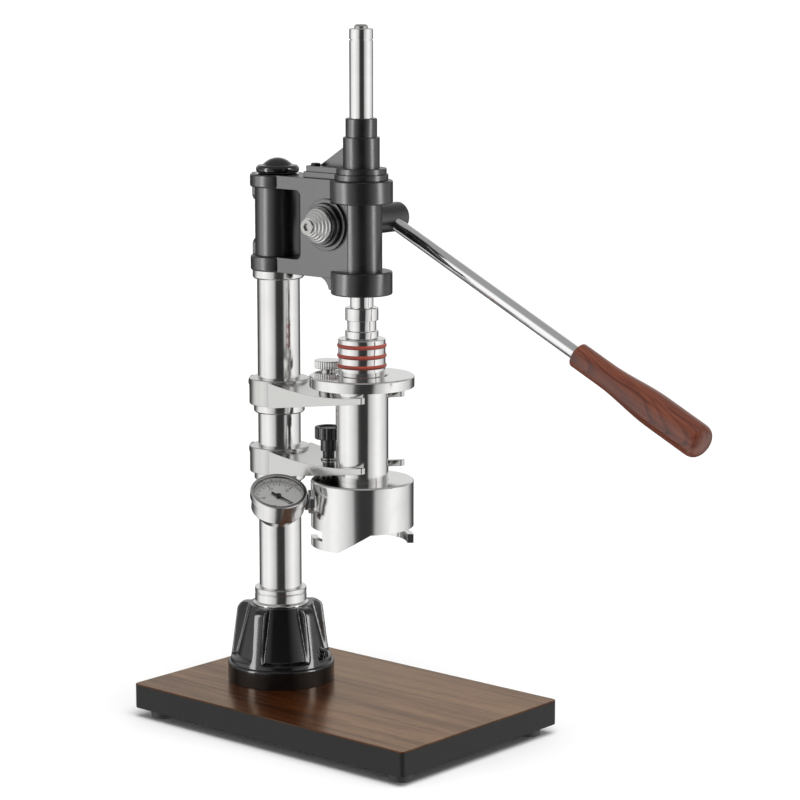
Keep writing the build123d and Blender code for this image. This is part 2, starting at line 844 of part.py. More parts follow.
def gauge_plane():
    # Local Z looks out of the dial, local X points from the dial to the group head.
    turn = math.radians(gauge_turn)
    lean = turn + math.pi / 2
    tilt = math.radians(gauge_tilt)
    out = Vector(math.cos(lean) * math.sin(tilt), math.sin(lean) * math.sin(tilt), math.cos(tilt))
    centre = Vector(group_x + gauge_distance * math.cos(turn), gauge_distance * math.sin(turn), stem_z)
    return Plane(origin=centre, x_dir=(-math.cos(turn), -math.sin(turn), 0), z_dir=out)


def gauge_case():
    rim = gauge_glass_low
    back = rim - gauge_case_depth
    end = back - gauge_back_depth
    inner = gauge_case_radius - gauge_case_wall
    floor = gauge_dial_top - gauge_dial_thickness
    case = turned([(0, end), (gauge_back_radius, end), (gauge_case_radius, back),
                   (gauge_case_radius, rim), (inner, rim), (inner, floor), (0, floor)])
    case -= upright(gauge_spindle_radius + running_gap, floor - gauge_spindle_depth, floor + overrun)
    case -= Rot(Y=90) * upright(gauge_pipe_radius + fixed_gap, gauge_case_radius - gauge_case_wall,
                                gauge_case_radius + overrun)
    return gauge_plane() * case


def gauge_bezel():
    window = gauge_bezel_radius - gauge_bezel_lip
    inside = gauge_case_radius + fixed_gap
    low = gauge_front - gauge_bezel_height
    ring = turned([(inside, low), (gauge_bezel_radius, low), (gauge_bezel_radius, gauge_front),
                   (window, gauge_front), (window, gauge_glass_top), (inside, gauge_glass_top)])
    outer = ring.edges().filter_by(GeomType.CIRCLE).group_by(Axis.Z)[-1].sort_by(SortBy.RADIUS)[-1]
    return gauge_plane() * fillet(outer, edge_round)


def gauge_glass():
    return gauge_plane() * upright(gauge_case_radius - fixed_gap, gauge_glass_low, gauge_glass_top)


def gauge_dial():
    low = gauge_dial_top - gauge_dial_thickness
    radius = gauge_case_radius - gauge_case_wall - fixed_gap
    return gauge_plane() * tube(radius, gauge_spindle_radius + running_gap, low, gauge_dial_top)


def gauge_needle():
    low = gauge_dial_top + gauge_needle_lift
    blade = Polyline((-gauge_needle_tail, -gauge_needle_width / 2), (0, -gauge_needle_width / 2),
                     (gauge_needle_length, -gauge_needle_tip_width / 2),
                     (gauge_needle_length, gauge_needle_tip_width / 2), (0, gauge_needle_width / 2),
                     (-gauge_needle_tail, gauge_needle_width / 2), close=True)
    needle = Pos(0, 0, low) * extrude(make_face(blade), gauge_needle_thickness)
    needle += upright(gauge_needle_hub_radius, low, low + gauge_needle_hub_height)
    spindle_low = gauge_dial_top - gauge_dial_thickness - gauge_spindle_depth + moving_gap
    needle += upright(gauge_spindle_radius, spindle_low, low + overrun / 2)
    return gauge_plane() * Rot(Z=gauge_zero_turn) * needle


def stem_line():
    # Local Z runs out from the group's axis through the middle of the gauge.
    return Pos(group_x, 0, stem_z) * Rot(Z=gauge_turn) * Rot(Y=90)


def gauge_stem():
    nut_face = group_radius - stem_nut_depth()
    start = nut_face - gauge_thread_length + fixed_gap
    end = gauge_distance - gauge_case_radius + gauge_case_wall
    hex_end = gauge_distance - gauge_case_radius - moving_gap
    stem = upright(gauge_pipe_radius, start, end)
    stem += Pos(0, 0, hex_end - gauge_hex_length) * hexagon(gauge_hex_flats, gauge_hex_length)
    stem -= upright(gauge_port_radius, start - overrun, end - overrun)
    return stem_line() * stem


def gauge_lock_nut():
    nut_face = group_radius - stem_nut_depth()
    nut = hexagon(lock_nut_flats, lock_nut_length) & upright(lock_nut_face_radius, 0, lock_nut_length)
    nut -= upright(gauge_pipe_radius + fixed_gap, -overrun, lock_nut_length + overrun)
    return stem_line() * Pos(0, 0, nut_face) * nut


def head_block():
    # The flat-sided body between the clamp rings and the rack housing, with its window to the column.
    low, high = head_bottom, head_top
    back = reach - head_block_back
    lower = low + head_lower_ring_height
    upper = high - head_upper_ring_height
    corner = head_window_round
    side = Curve() + [
        Line((0, low), (reach, low)),
        Line((reach, low), (reach, high)),
        Line((reach, high), (0, high)),
        Line((0, high), (0, upper)),
        Line((0, upper), (back - corner, upper)),
        RadiusArc((back - corner, upper), (back, upper - corner), corner),
        Line((back, upper - corner), (back, lower + corner)),
        RadiusArc((back, lower + corner), (back - corner, lower), corner),
        Line((back - corner, lower), (0, lower)),
        Line((0, lower), (0, low)),
    ]
    return side_slab(side, head_half_width)


def head_casting():
    low, high = head_bottom, head_top
    ring_radius = column_hole + head_ring_wall
    body = head_block()
    body += round_ends(upright(ring_radius, low, low + head_lower_ring_height), head_edge_round)
    body += round_ends(upright(ring_radius, high - head_upper_ring_height, high), head_edge_round)
    body += upright(housing_radius, housing_bottom, high, reach)
    upper = round_ends(upright(housing_upper_radius, high - housing_upper_height, high), housing_ring_round)
    lower = round_ends(upright(housing_lower_radius, housing_bottom, board_top + housing_lower_top),
                       housing_ring_round)
    body += Pos(reach, 0, 0) * (upper + lower)
    heel = reach - housing_lower_radius
    root = Curve() + [
        RadiusArc((heel + edge_round, low - housing_fillet), (heel - housing_fillet, low), -housing_fillet_curve),
        Line((heel - housing_fillet, low), (heel - housing_fillet, low + overrun)),
        Line((heel - housing_fillet, low + overrun), (reach, low + overrun)),
        Line((reach, low + overrun), (reach, low - housing_fillet)),
        Line((reach, low - housing_fillet), (heel + edge_round, low - housing_fillet)),
    ]
    body += side_slab(root, housing_fillet_half_width)
    body += crosswise(boss_radius, -boss_face, boss_face, pinion_x - column_x, pinion_z)
    body += head_bosses()
    return Pos(column_x, 0, 0) * (body - head_bores())


def head_bosses():
    # Rounded bosses behind each clamp ring, drilled for the set screws that grip the column.
    half = head_boss_half_width
    lower = head_bottom + head_lower_ring_height + head_boss_rise
    upper = head_top - head_upper_ring_height - head_boss_rise
    bosses = Part()
    for start, end, turn in ((head_bottom, lower, 0), (head_top, upper, 180)):
        tall = abs(end - start) - half
        pillar = Box(head_boss_reach, 2 * half, tall, align=(Align.MAX, Align.CENTER, Align.MIN))
        pillar += Pos(0, 0, tall) * Rot(Y=-90) * upright(half, 0, head_boss_reach)
        bosses += Pos(0, 0, start) * Rot(X=turn) * pillar
    return bosses - upright(column_hole + column_sleeve_wall + fixed_gap, head_bottom, head_top)


def head_screw_heights():
    return (head_bottom + head_lower_ring_height / 2, head_top - head_upper_ring_height / 2)


def head_bores():
    low, high = head_bottom, head_top
    px = pinion_x - column_x
    cut = upright(column_hole, low - overrun, high + overrun)
    for z in head_screw_heights():
        cut += Pos(0, 0, z) * Rot(Y=-90) * upright(head_screw_radius + fixed_gap, 0, head_boss_reach + overrun)
    cut += upright(rack_hole + bush_wall, housing_bottom - overrun, housing_bottom + bush_length, reach)
    cut += upright(rack_hole + bush_wall, high - bush_length, high + overrun, reach)
    cut += upright(rack_hole + moving_gap, housing_bottom, high, reach)
    pocket = pinion_half_width + moving_gap
    cut += crosswise(pinion_tip_radius + moving_gap, -pocket, boss_face + overrun, px, pinion_z)
    cut += crosswise(journal_radius + near_bush_wall + fixed_gap, -boss_face, 0, px, pinion_z)
    cut += crosswise(boss_radius + moving_gap, boss_face, boss_face + housing_upper_radius, px, pinion_z)
    recess = boss_face - boss_recess_depth
    cut += crosswise(cap_thread_radius + moving_gap, -boss_face - overrun, -recess, px, pinion_z)
    for side in (-1, 1):
        cut += upright(guide_screw_radius + fixed_gap, high - guide_screw_grip, high + overrun,
                       reach - guide_screw_setback, side * guide_screw_spread)
    return cut


def head_clamp_screws():
    length = head_boss_reach - head_screw_recess - column_hole
    screw = grub_screw(head_screw_radius, length, head_screw_key_flats, head_screw_key_depth)
    return [Pos(column_x - column_hole, 0, z) * Rot(Y=-90) * screw for z in head_screw_heights()]


def rack_bush(low):
    return tube(rack_hole + bush_wall - fixed_gap, rack_hole, low, low + bush_length, group_x)


def keyhole_plate(ring_radius, tail_length, half_width, low, height):
    plan = Circle(ring_radius) + Pos(-tail_length / 2, 0) * RectangleRounded(
        tail_length, 2 * half_width, guide_tail_corner)
    return Pos(group_x, 0, low) * extrude(plan, height)


def guide_screw_holes(radius, low, high):
    holes = Part()
    for side in (-1, 1):
        holes += upright(radius, low, high, group_x - guide_screw_setback, side * guide_screw_spread)
    return holes


def guide_plate():
    plate = keyhole_plate(guide_plate_radius, guide_tail_length, guide_tail_half_width,
                          head_top, guide_layer_height)
    plate -= upright(rack_hole + moving_gap, head_top - overrun, guide_base + overrun, group_x)
    return plate - guide_screw_holes(guide_screw_radius + fixed_gap, head_top - overrun, guide_base + overrun)


def rack_guide():
    plate_top = guide_base + guide_layer_height
    tail = guide_tail_length - guide_tail_step
    body = keyhole_plate(guide_ring_radius, tail, guide_tail_half_width - guide_tail_step / 2,
                         guide_base, guide_layer_height)
    shoulder = plate_top + guide_tube_height
    barrel = round_ends(upright(guide_tube_radius, guide_base, shoulder), edge_round, (-1,))
    barrel += round_ends(upright(guide_neck_radius, guide_base, guide_top), edge_round, (-1,))
    root = -guide_tube_radius + overrun
    toe = root - guide_gusset_length
    gusset = Polyline((root, plate_top - overrun), (root, plate_top + guide_gusset_height),
                      (toe, plate_top), (toe, plate_top - overrun), close=True)
    body += Pos(group_x, 0, 0) * (barrel + side_slab(gusset, guide_gusset_half_width))
    body -= upright(rack_hole, guide_base - overrun, guide_top + overrun, group_x)
    return body - guide_screw_holes(guide_screw_radius + fixed_gap, guide_base - overrun, plate_top + overrun)


def guide_screws():
    seat = guide_base + guide_layer_height
    screw = cap_screw(guide_screw_radius, 2 * guide_layer_height + guide_screw_grip - fixed_gap,
                      guide_screw_head_radius, guide_screw_head_height,
                      guide_screw_key_flats, guide_screw_key_depth)
    screw = round_ends(screw, edge_round, (-1,))
    return [Pos(group_x - guide_screw_setback, side * guide_screw_spread, seat) * screw for side in (-1, 1)]


def rack_bar():
    # A round bar with straight-sided teeth milled into its rear face.
    pitch = math.pi * gear_module
    lean = math.tan(math.radians(pressure_angle))
    crest = pitch / 2 - gear_backlash - 2 * gear_module * lean
    root_depth = dedendum_share * gear_module
    foot = crest + 2 * (gear_module + root_depth) * lean
    tip = -rack_tip_offset
    root = tip + gear_module + root_depth
    below = math.ceil((rack_rise + rack_mesh_margin) / pitch)
    above = math.ceil((rack_stroke + rack_mesh_margin) / pitch)
    outside = -rack_radius - overrun
    low = pinion_z - (below + 1) * pitch
    high = pinion_z + (above + 1) * pitch
    outline = [(outside, low), (tip, low)]
    for i in range(-below, above):
        middle = pinion_z + i * pitch + pitch / 2
        outline += [(root, middle - foot / 2), (tip, middle - crest / 2),
                    (tip, middle + crest / 2), (root, middle + foot / 2)]
    outline += [(tip, high), (outside, high)]
    teeth = side_slab(Polyline(*outline, close=True), rack_radius + overrun)
    bar = upright(rack_radius, rack_bottom, rack_top) - teeth
    bar -= upright(coupler_pin_radius + fixed_gap, rack_bottom - overrun, rack_bottom + coupler_pin_length)
    bar -= upright(rack_cap_spigot_radius + fixed_gap, rack_top - rack_cap_spigot_length, rack_top + overrun)
    return Pos(group_x, 0, 0) * bar


def rack_end_cap():
    top = rack_top + rack_cap_height
    neck = rack_radius - rack_cap_neck
    cap = turned([(0, rack_top), (neck, rack_top), (neck, rack_top + rack_cap_neck_depth),
                  (rack_radius, rack_top + rack_cap_neck_depth), (rack_radius, top), (0, top)])
    cap = round_ends(cap, edge_round, (-1,))
    cap += upright(rack_cap_spigot_radius, rack_top - rack_cap_spigot_length + fixed_gap, rack_top + overrun)
    cap -= upright(rack_screw_radius + fixed_gap, top - rack_screw_length, top + overrun)
    return Pos(group_x, 0, 0) * cap


def rack_end_screw():
    seat = rack_top + rack_cap_height
    dome = round_ends(upright(rack_screw_head_radius, seat, seat + rack_screw_head_height),
                      rack_screw_head_height - edge_round, (-1,))
    shank = upright(rack_screw_radius, seat - rack_screw_length + fixed_gap, seat + overrun)
    return Pos(group_x, 0, 0) * (dome + shank)


def piston_coupler():
    groove = rack_bottom - coupler_upper_band
    band = groove - coupler_groove_band
    body = round_ends(upright(coupler_radius, groove, rack_bottom), edge_round)
    body += upright(coupler_groove_radius, band - overrun, groove + overrun)
    body += round_ends(upright(coupler_radius, piston_top, band), edge_round)
    body += upright(coupler_pin_radius, rack_bottom - overrun, rack_bottom + coupler_pin_length - fixed_gap)
    body += upright(coupler_pin_radius, piston_top - piston_pin_length, piston_top + overrun)
    return Pos(group_x, 0, 0) * body


def seal_heights():
    return [piston_top - seal_first_drop - i * seal_pitch for i in range(seal_count)]


def seal_circle():
    return cylinder_bore_radius - seal_bore_gap - seal_section_radius


def piston():
    body = round_ends(upright(piston_radius, piston_bottom, piston_top), piston_round)
    for z in seal_heights():
        body -= Pos(0, 0, z) * Torus(seal_circle(), seal_section_radius + fixed_gap)
    pin_end = piston_top - piston_pin_length - fixed_gap
    body -= upright(coupler_pin_radius + fixed_gap, pin_end, piston_top + overrun)
    return Pos(group_x, 0, 0) * body


def piston_seals():
    return [Pos(group_x, 0, z) * Torus(seal_circle(), seal_section_radius) for z in seal_heights()]


def pinion_outline():
    # Involute teeth, with one tooth pointing at the rack.
    base = pinion_pitch_radius * math.cos(math.radians(pressure_angle))
    root = pinion_pitch_radius - dedendum_share * gear_module
    half = (math.pi * gear_module / 2 - gear_backlash) / 2 / pinion_pitch_radius
    start = math.tan(math.radians(pressure_angle)) - math.radians(pressure_angle)

    def half_angle(radius):
        spread = math.acos(base / radius)
        return half + start - (math.tan(spread) - spread)

    flank = [(root, half_angle(base))]
    for share in flank_shares:
        radius = base + (pinion_tip_radius - base) * share
        flank.append((radius, half_angle(radius)))
    points = []
    for i in range(pinion_teeth):
        middle = 2 * math.pi * i / pinion_teeth
        for radius, angle in flank:
            points.append((radius * math.cos(middle - angle), radius * math.sin(middle - angle)))
        for radius, angle in reversed(flank):
            points.append((radius * math.cos(middle + angle), radius * math.sin(middle + angle)))
    return points


def pinion_shaft():
    gear = side_slab(Polyline(*pinion_outline(), close=True), pinion_half_width)
    shaft = gear + crosswise(journal_radius, -pinion_half_width - near_bush_length, hub_start, 0, 0)
    shaft += crosswise(stub_radius, -end_cap_start() - end_cap_depth / 2, 0, 0, 0)
    shaft += crosswise(hub_stub_radius, hub_start - overrun, hub_start + hub_stub_length - fixed_gap, 0, 0)
    screw_depth = end_cap_start() + end_cap_depth - end_screw_length
    shaft -= crosswise(end_screw_radius + fixed_gap, -end_cap_start() - end_cap_depth, -screw_depth, 0, 0)
    return Pos(pinion_x, 0, pinion_z) * shaft


def end_cap_start():
    return boss_face - boss_recess_depth + cap_thread_length + cap_sleeve_length + moving_gap


def near_pinion_bush():
    start = pinion_half_width + moving_gap
    outer = journal_radius + near_bush_wall
    ring = crosswise(outer, -start - near_bush_length, -start, pinion_x, pinion_z)
    return ring - crosswise(journal_radius + running_gap, -boss_face, 0, pinion_x, pinion_z)


def bearing_cover():
    start = pinion_half_width + moving_gap
    body = crosswise(pinion_tip_radius + moving_gap - fixed_gap, start, boss_face, pinion_x, pinion_z)
    body += crosswise(boss_radius, boss_face, boss_face + cover_flange_height, pinion_x, pinion_z)
    return body - crosswise(journal_radius + running_gap, 0, hub_start + overrun, pinion_x, pinion_z)


def bearing_nut():
    # The stepped chrome nut that closes the near bearing.
    recess = boss_face - boss_recess_depth
    shoulder = recess + cap_thread_length
    nut = crosswise(cap_thread_radius, -shoulder, -recess, pinion_x, pinion_z)
    nut += crosswise(cap_sleeve_radius, -shoulder - cap_sleeve_length, -recess, pinion_x, pinion_z)
    outer_end = shoulder + cap_sleeve_length + overrun
    return nut - crosswise(stub_radius + running_gap, -outer_end, 0, pinion_x, pinion_z)


def shaft_end_cap():
    # A turned cone with a cylindrical rim, drawn onto the shaft's end by the screw.
    start = end_cap_start()
    rise = (end_cap_depth - end_cap_rim) / end_cap_steps
    drop = (end_cap_radius - end_cap_nose_radius) / end_cap_steps
    profile = [(0, 0), (end_cap_radius, 0)]
    for i in range(end_cap_steps):
        radius = end_cap_radius - i * drop
        height = end_cap_rim + i * rise
        profile += [(radius, height), (radius - drop * end_cap_ledge_share, height + rise * end_cap_slope_share)]
    profile += [(end_cap_nose_radius, end_cap_depth), (0, end_cap_depth)]
    cap = turned(profile)
    cap -= upright(stub_radius + fixed_gap, -overrun, end_cap_depth / 2 + fixed_gap)
    cap -= upright(end_screw_radius + fixed_gap, 0, end_cap_depth + overrun)
    return Pos(pinion_x, -start, pinion_z) * Rot(X=90) * cap


def shaft_end_screw():
    start = end_cap_start() + end_cap_depth
    screw = cap_screw(end_screw_radius, end_screw_length - fixed_gap, end_screw_head_radius,
                      end_screw_head_height, end_screw_key_flats, end_screw_key_depth)
    return Pos(pinion_x, -start, pinion_z) * Rot(X=90) * screw


def lever_line():
    # Local X runs along the lever, from the hub's axis to the end of the grip.
    return Pos(pinion_x, lever_plane, pinion_z) * Rot(Y=lever_drop) * Rot(Z=lever_splay)


def lever_bar(radius, start, end):
    return Pos(start, 0, 0) * Rot(Y=90) * Cylinder(radius, end - start, align=on_base)


def lever_hub():
    body = upright(hub_radius, hub_start, hub_end)
    body = round_ends(body, hub_round, (-1,))
    body += round_ends(upright(hub_collar_radius, hub_start, hub_start + hub_collar_length), edge_round)
    body -= upright(hub_stub_radius + fixed_gap, hub_start - overrun, hub_start + hub_stub_length)
    body -= upright(hub_screw_radius + fixed_gap, lever_plane, hub_end + overrun)
    body = Pos(pinion_x, 0, pinion_z) * Rot(X=-90) * body
    return body - lever_line() * lever_bar(lever_rod_radius + fixed_gap, -lever_tail, hub_radius + overrun)


def hub_lock_screw():
    start = lever_plane + lever_rod_radius + moving_gap
    length = hub_end - hub_screw_recess - start
    screw = grub_screw(hub_screw_radius, length, hub_screw_key_flats, hub_screw_key_depth)
    return Pos(pinion_x, start, pinion_z) * Rot(X=-90) * screw


def lever_rod():
    grip_start = lever_length - grip_length
    return lever_line() * lever_bar(lever_rod_radius, -lever_tail + fixed_gap, grip_start + grip_socket_depth)


def handle_grip():
    # A turned wooden grip that swells towards the hand and ends in a low dome.
    start = lever_length - grip_length
    dome = lever_length - grip_dome_height
    dome_radius = (grip_end_radius ** 2 + grip_dome_height ** 2) / (2 * grip_dome_height)
    hole = lever_rod_radius + fixed_gap
    socket = start + grip_socket_depth + fixed_gap
    rim = (start, grip_start_radius - grip_start_round)
    shoulder = (start + grip_start_round, grip_start_radius)
    side = Curve() + [
        Line((start, hole), rim),
        RadiusArc(rim, shoulder, grip_start_round),
        Spline(shoulder,
               (start + grip_length * grip_waist_share, grip_waist_radius),
               (start + grip_length * grip_rise_share, (grip_waist_radius + grip_swell_radius) / 2),
               (start + grip_length * grip_swell_share, grip_swell_radius),
               (dome, grip_end_radius)),
        RadiusArc((dome, grip_end_radius), (lever_length, 0), dome_radius),
        Line((lever_length, 0), (socket, 0)),
        Line((socket, 0), (socket, hole)),
        Line((socket, hole), (start, hole)),
    ]
    return lever_line() * revolve(make_face(side), Axis.X)


nodes = {
    "base_board": base_board,
    "board_veneer": board_veneer,
    "rubber_feet": rubber_feet,
    "foot_screws": foot_screws,
    "base_socket": base_socket,
    "socket_bolts": socket_bolts,
    "socket_set_screw": socket_set_screw,
    "base_ferrule": base_ferrule,
    "column_tube": column_tube,
    "column_cap": column_cap,
    "column_sleeve": column_sleeve,
    "lower_arm": lower_arm,
    "upper_arm": upper_arm,
    "lower_arm_collar": lambda: stop_collar(lower_arm_top - arm_hub_height),
    "upper_arm_collar": lambda: stop_collar(upper_arm_top - arm_hub_height),
    "head_collar": lambda: stop_collar(head_bottom),
    "arm_clamp_screws": arm_clamp_screws,
    "brew_cylinder": brew_cylinder,
    "cylinder_flange": cylinder_flange,
    "group_head": group_head,
    "group_gasket": group_gasket,
    "dispersion_block": dispersion_block,
    "shower_screen": shower_screen,
    "screen_screw": screen_screw,
    "arm_knob": arm_knob,
    "arm_knob_stud": arm_knob_stud,
    "flange_screw": flange_screw,
    "gauge_case": gauge_case,
    "gauge_bezel": gauge_bezel,
    "gauge_glass": gauge_glass,
    "gauge_dial": gauge_dial,
    "gauge_needle": gauge_needle,
    "gauge_stem": gauge_stem,
    "gauge_lock_nut": gauge_lock_nut,
    "head_casting": head_casting,
    "head_clamp_screws": head_clamp_screws,
    "lower_rack_bush": lambda: rack_bush(housing_bottom),
    "upper_rack_bush": lambda: rack_bush(head_top - bush_length),
    "guide_plate": guide_plate,
    "rack_guide": rack_guide,
    "guide_screws": guide_screws,
    "near_pinion_bush": near_pinion_bush,
    "bearing_cover": bearing_cover,
    "bearing_nut": bearing_nut,
    "pinion_shaft": pinion_shaft,
    "shaft_end_cap": shaft_end_cap,
    "shaft_end_screw": shaft_end_screw,
    "lever_hub": lever_hub,
    "hub_lock_screw": hub_lock_screw,
    "lever_rod": lever_rod,
    "handle_grip": handle_grip,
    "rack_bar": rack_bar,
    "rack_end_cap": rack_end_cap,
    "rack_end_screw": rack_end_screw,
    "piston_coupler": piston_coupler,
    "piston": piston,
    "piston_seals": piston_seals,
}

os.makedirs("parts", exist_ok=True)
for name, build in nodes.items():
    shape = build()
    if isinstance(shape, list):
        shape = Compound(children=shape)
    export_step(shape, f"parts/{name}.step")
    print(name)
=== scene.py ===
import bpy
import json
from math import asin, atan2, cos, exp, hypot, pi, radians, sin, sqrt
from mathutils import Matrix, Vector


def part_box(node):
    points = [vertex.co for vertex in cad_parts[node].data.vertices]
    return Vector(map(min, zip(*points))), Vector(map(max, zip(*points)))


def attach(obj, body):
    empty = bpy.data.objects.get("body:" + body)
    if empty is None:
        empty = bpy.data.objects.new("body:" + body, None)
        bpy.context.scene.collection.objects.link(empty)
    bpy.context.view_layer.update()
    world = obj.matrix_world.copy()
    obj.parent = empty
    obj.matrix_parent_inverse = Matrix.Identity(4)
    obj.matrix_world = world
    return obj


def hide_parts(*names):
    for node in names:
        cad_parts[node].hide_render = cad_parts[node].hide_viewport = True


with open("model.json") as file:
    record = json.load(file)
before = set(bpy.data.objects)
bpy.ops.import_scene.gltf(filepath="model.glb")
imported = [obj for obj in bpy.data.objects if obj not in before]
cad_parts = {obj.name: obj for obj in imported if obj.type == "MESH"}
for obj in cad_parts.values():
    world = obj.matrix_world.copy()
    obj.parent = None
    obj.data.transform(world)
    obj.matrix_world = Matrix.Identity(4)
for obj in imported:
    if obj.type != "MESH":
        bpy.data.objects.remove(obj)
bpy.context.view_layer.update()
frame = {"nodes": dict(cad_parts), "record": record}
bodyOf = {n: body for body, names in frame["record"]["behaviour"]["bodies"].items() for n in names}
print("frame loaded", len(bodyOf), "nodes")

# main axes of the machine, in metres
columnLine = (-0.071, 0, 0)
groupLine = (0.0217, 0, 0)
knobLine = (-0.0153, 0, 0)
pinionLine = (-0.0005, 0, 0.4213)
uprightTurn = (0, 0, 0)
pinionTurn = (pi / 2, 0, 0)
leverSlope = radians(26.2)
leverSide = 0.057
leverSplay = radians(1.5)
gaugeAt = Vector((-0.02121, -0.05493, 0.1955))
gaugeOut = Vector((0.34544, -0.26989, 0.89879))
gaugeDown = Vector((0.61566, 0.78801, 0))  # six o'clock, towards the group head
gaugeFrame = Matrix((gaugeDown, gaugeOut.cross(gaugeDown), gaugeOut)).transposed()


# material tools

noiseRange = (0.3, 0.7)  # where nearly all of a noise's values lie
roundingSamples = 6
outwardShare = 0.12  # a fraction of the distance, since a round face's flat facets lie unevenly far out


def startMaterial(name, colour, metallic, roughness):
    material = bpy.data.materials.new(name)
    material.use_nodes = True
    tree = material.node_tree
    shader = tree.nodes["Principled BSDF"]
    shader.inputs["Base Color"].default_value = (*colour, 1)
    shader.inputs["Metallic"].default_value = metallic
    shader.inputs["Roughness"].default_value = roughness
    return material, tree, shader


def joinUp(tree, value, socket):
    if isinstance(value, bpy.types.NodeSocket):
        tree.links.new(value, socket)
    else:
        socket.default_value = value


def placed(tree, at=(0, 0, 0), turn=(0, 0, 0), size=(1, 1, 1)):
    coords = tree.nodes.new("ShaderNodeTexCoord")
    mapping = tree.nodes.new("ShaderNodeMapping")
    mapping.vector_type = "TEXTURE"
    mapping.inputs["Location"].default_value = at
    mapping.inputs["Rotation"].default_value = turn
    mapping.inputs["Scale"].default_value = size
    tree.links.new(coords.outputs["Object"], mapping.inputs["Vector"])
    return mapping.outputs["Vector"]


def noise(tree, vector, scale, detail=3.0, rough=0.5, distort=0.0):
    node = tree.nodes.new("ShaderNodeTexNoise")
    tree.links.new(vector, node.inputs["Vector"])
    node.inputs["Scale"].default_value = scale
    node.inputs["Detail"].default_value = detail
    node.inputs["Roughness"].default_value = rough
    node.inputs["Distortion"].default_value = distort
    return node.outputs["Fac"]


def ramp(tree, value, stops):
    node = tree.nodes.new("ShaderNodeValToRGB")
    while len(node.color_ramp.elements) < len(stops):
        node.color_ramp.elements.new(0.5)
    for element, (place, colour) in zip(node.color_ramp.elements, stops):
        element.position = place
        tone = (colour, colour, colour) if isinstance(colour, float) else colour
        element.color = (*tone, 1)
    tree.links.new(value, node.inputs["Fac"])
    return node.outputs["Color"]


def sums(tree, how, a, b=0.0, c=0.0):
    node = tree.nodes.new("ShaderNodeMath")
    node.operation = how
    for value, socket in zip((a, b, c), node.inputs):
        joinUp(tree, value, socket)
    return node.outputs["Value"]


def weighed(tree, a, aShare, b, bShare):
    return sums(tree, "ADD", sums(tree, "MULTIPLY", a, aShare), sums(tree, "MULTIPLY", b, bShare))


def mixed(tree, how, share, a, b):
    node = tree.nodes.new("ShaderNodeMix")
    node.data_type = "RGBA"
    node.blend_type = how
    joinUp(tree, share, node.inputs["Factor"])
    joinUp(tree, a, node.inputs["A"])
    joinUp(tree, b, node.inputs["B"])
    return node.outputs["Result"]


def spread(tree, value, low, high):
    node = tree.nodes.new("ShaderNodeMapRange")
    tree.links.new(value, node.inputs["Value"])
    node.inputs["From Min"].default_value = noiseRange[0]
    node.inputs["From Max"].default_value = noiseRange[1]
    node.inputs["To Min"].default_value = low
    node.inputs["To Max"].default_value = high
    return node.outputs["Result"]


def bumped(tree, shader, height, distance, soft=0.0):
    node = tree.nodes.new("ShaderNodeBump")
    node.inputs["Distance"].default_value = distance
    tree.links.new(height, node.inputs["Height"])
    if soft:
        rounding = tree.nodes.new("ShaderNodeBevel")
        rounding.samples = roundingSamples
        rounding.inputs["Radius"].default_value = soft
        tree.links.new(rounding.outputs["Normal"], node.inputs["Normal"])
    tree.links.new(node.outputs["Normal"], shader.inputs["Normal"])


def aroundLine(tree, at, turn):
    # distance from the turning axis and place along it, as one pair of coordinates
    vector = placed(tree, at, turn)
    parts = tree.nodes.new("ShaderNodeSeparateXYZ")
    tree.links.new(vector, parts.inputs["Vector"])
    x, y, z = (parts.outputs[k] for k in ("X", "Y", "Z"))
    away = sums(tree, "SQRT", weighed(tree, x, x, y, y))
    pair = tree.nodes.new("ShaderNodeCombineXYZ")
    tree.links.new(sums(tree, "MULTIPLY", away, outwardShare), pair.inputs["X"])
    tree.links.new(z, pair.inputs["Y"])
    return pair.outputs["Vector"], vector


# metals: fine lathe lines round each piece's own axis, with faint smears over them

turnedMetals = {
    "columnSteel": dict(
        at=columnLine, turn=uprightTurn, colour=(0.79, 0.785, 0.775), rough=(0.10, 0.17), lines=1500,
        depth=0.000004),
    "groupSteel": dict(
        at=groupLine, turn=uprightTurn, colour=(0.80, 0.795, 0.785), rough=(0.10, 0.16), lines=1400,
        depth=0.000004),
    "rodSteel": dict(
        at=groupLine, turn=uprightTurn, colour=(0.82, 0.815, 0.81), rough=(0.07, 0.13), lines=1800,
        depth=0.000003),
    "pinionSteel": dict(
        at=pinionLine, turn=pinionTurn, colour=(0.80, 0.795, 0.785), rough=(0.12, 0.20), lines=1300,
        depth=0.000005),
    "capSteel": dict(
        at=pinionLine, turn=pinionTurn, colour=(0.92, 0.915, 0.90), rough=(0.36, 0.46), lines=1300,
        depth=0.000008),
    "knobSteel": dict(
        at=knobLine, turn=uprightTurn, colour=(0.80, 0.795, 0.785), rough=(0.12, 0.2), lines=1300,
        depth=0.000005),
    "gaugeSteel": dict(
        at=tuple(gaugeAt), turn=tuple(gaugeFrame.to_euler()), colour=(0.74, 0.735, 0.725),
        rough=(0.14, 0.24), lines=1200, depth=0.000005),
    "screwSteel": dict(
        at=(0, 0, 0), turn=uprightTurn, colour=(0.52, 0.515, 0.50), rough=(0.20, 0.30), lines=700,
        depth=0.000004),
    "darkScrew": dict(
        at=(0, 0, 0), turn=uprightTurn, colour=(0.055, 0.055, 0.056), rough=(0.32, 0.46), lines=700,
        depth=0.000008),
    "turnedBrass": dict(
        at=groupLine, turn=uprightTurn, colour=(0.70, 0.50, 0.20), rough=(0.2, 0.32), lines=900,
        depth=0.000006),
}
turnedWear = dict(smear=38, ringShare=0.45, smearShare=0.55, shade=0.93, shadeFrom=0.3, shadeTo=0.62)


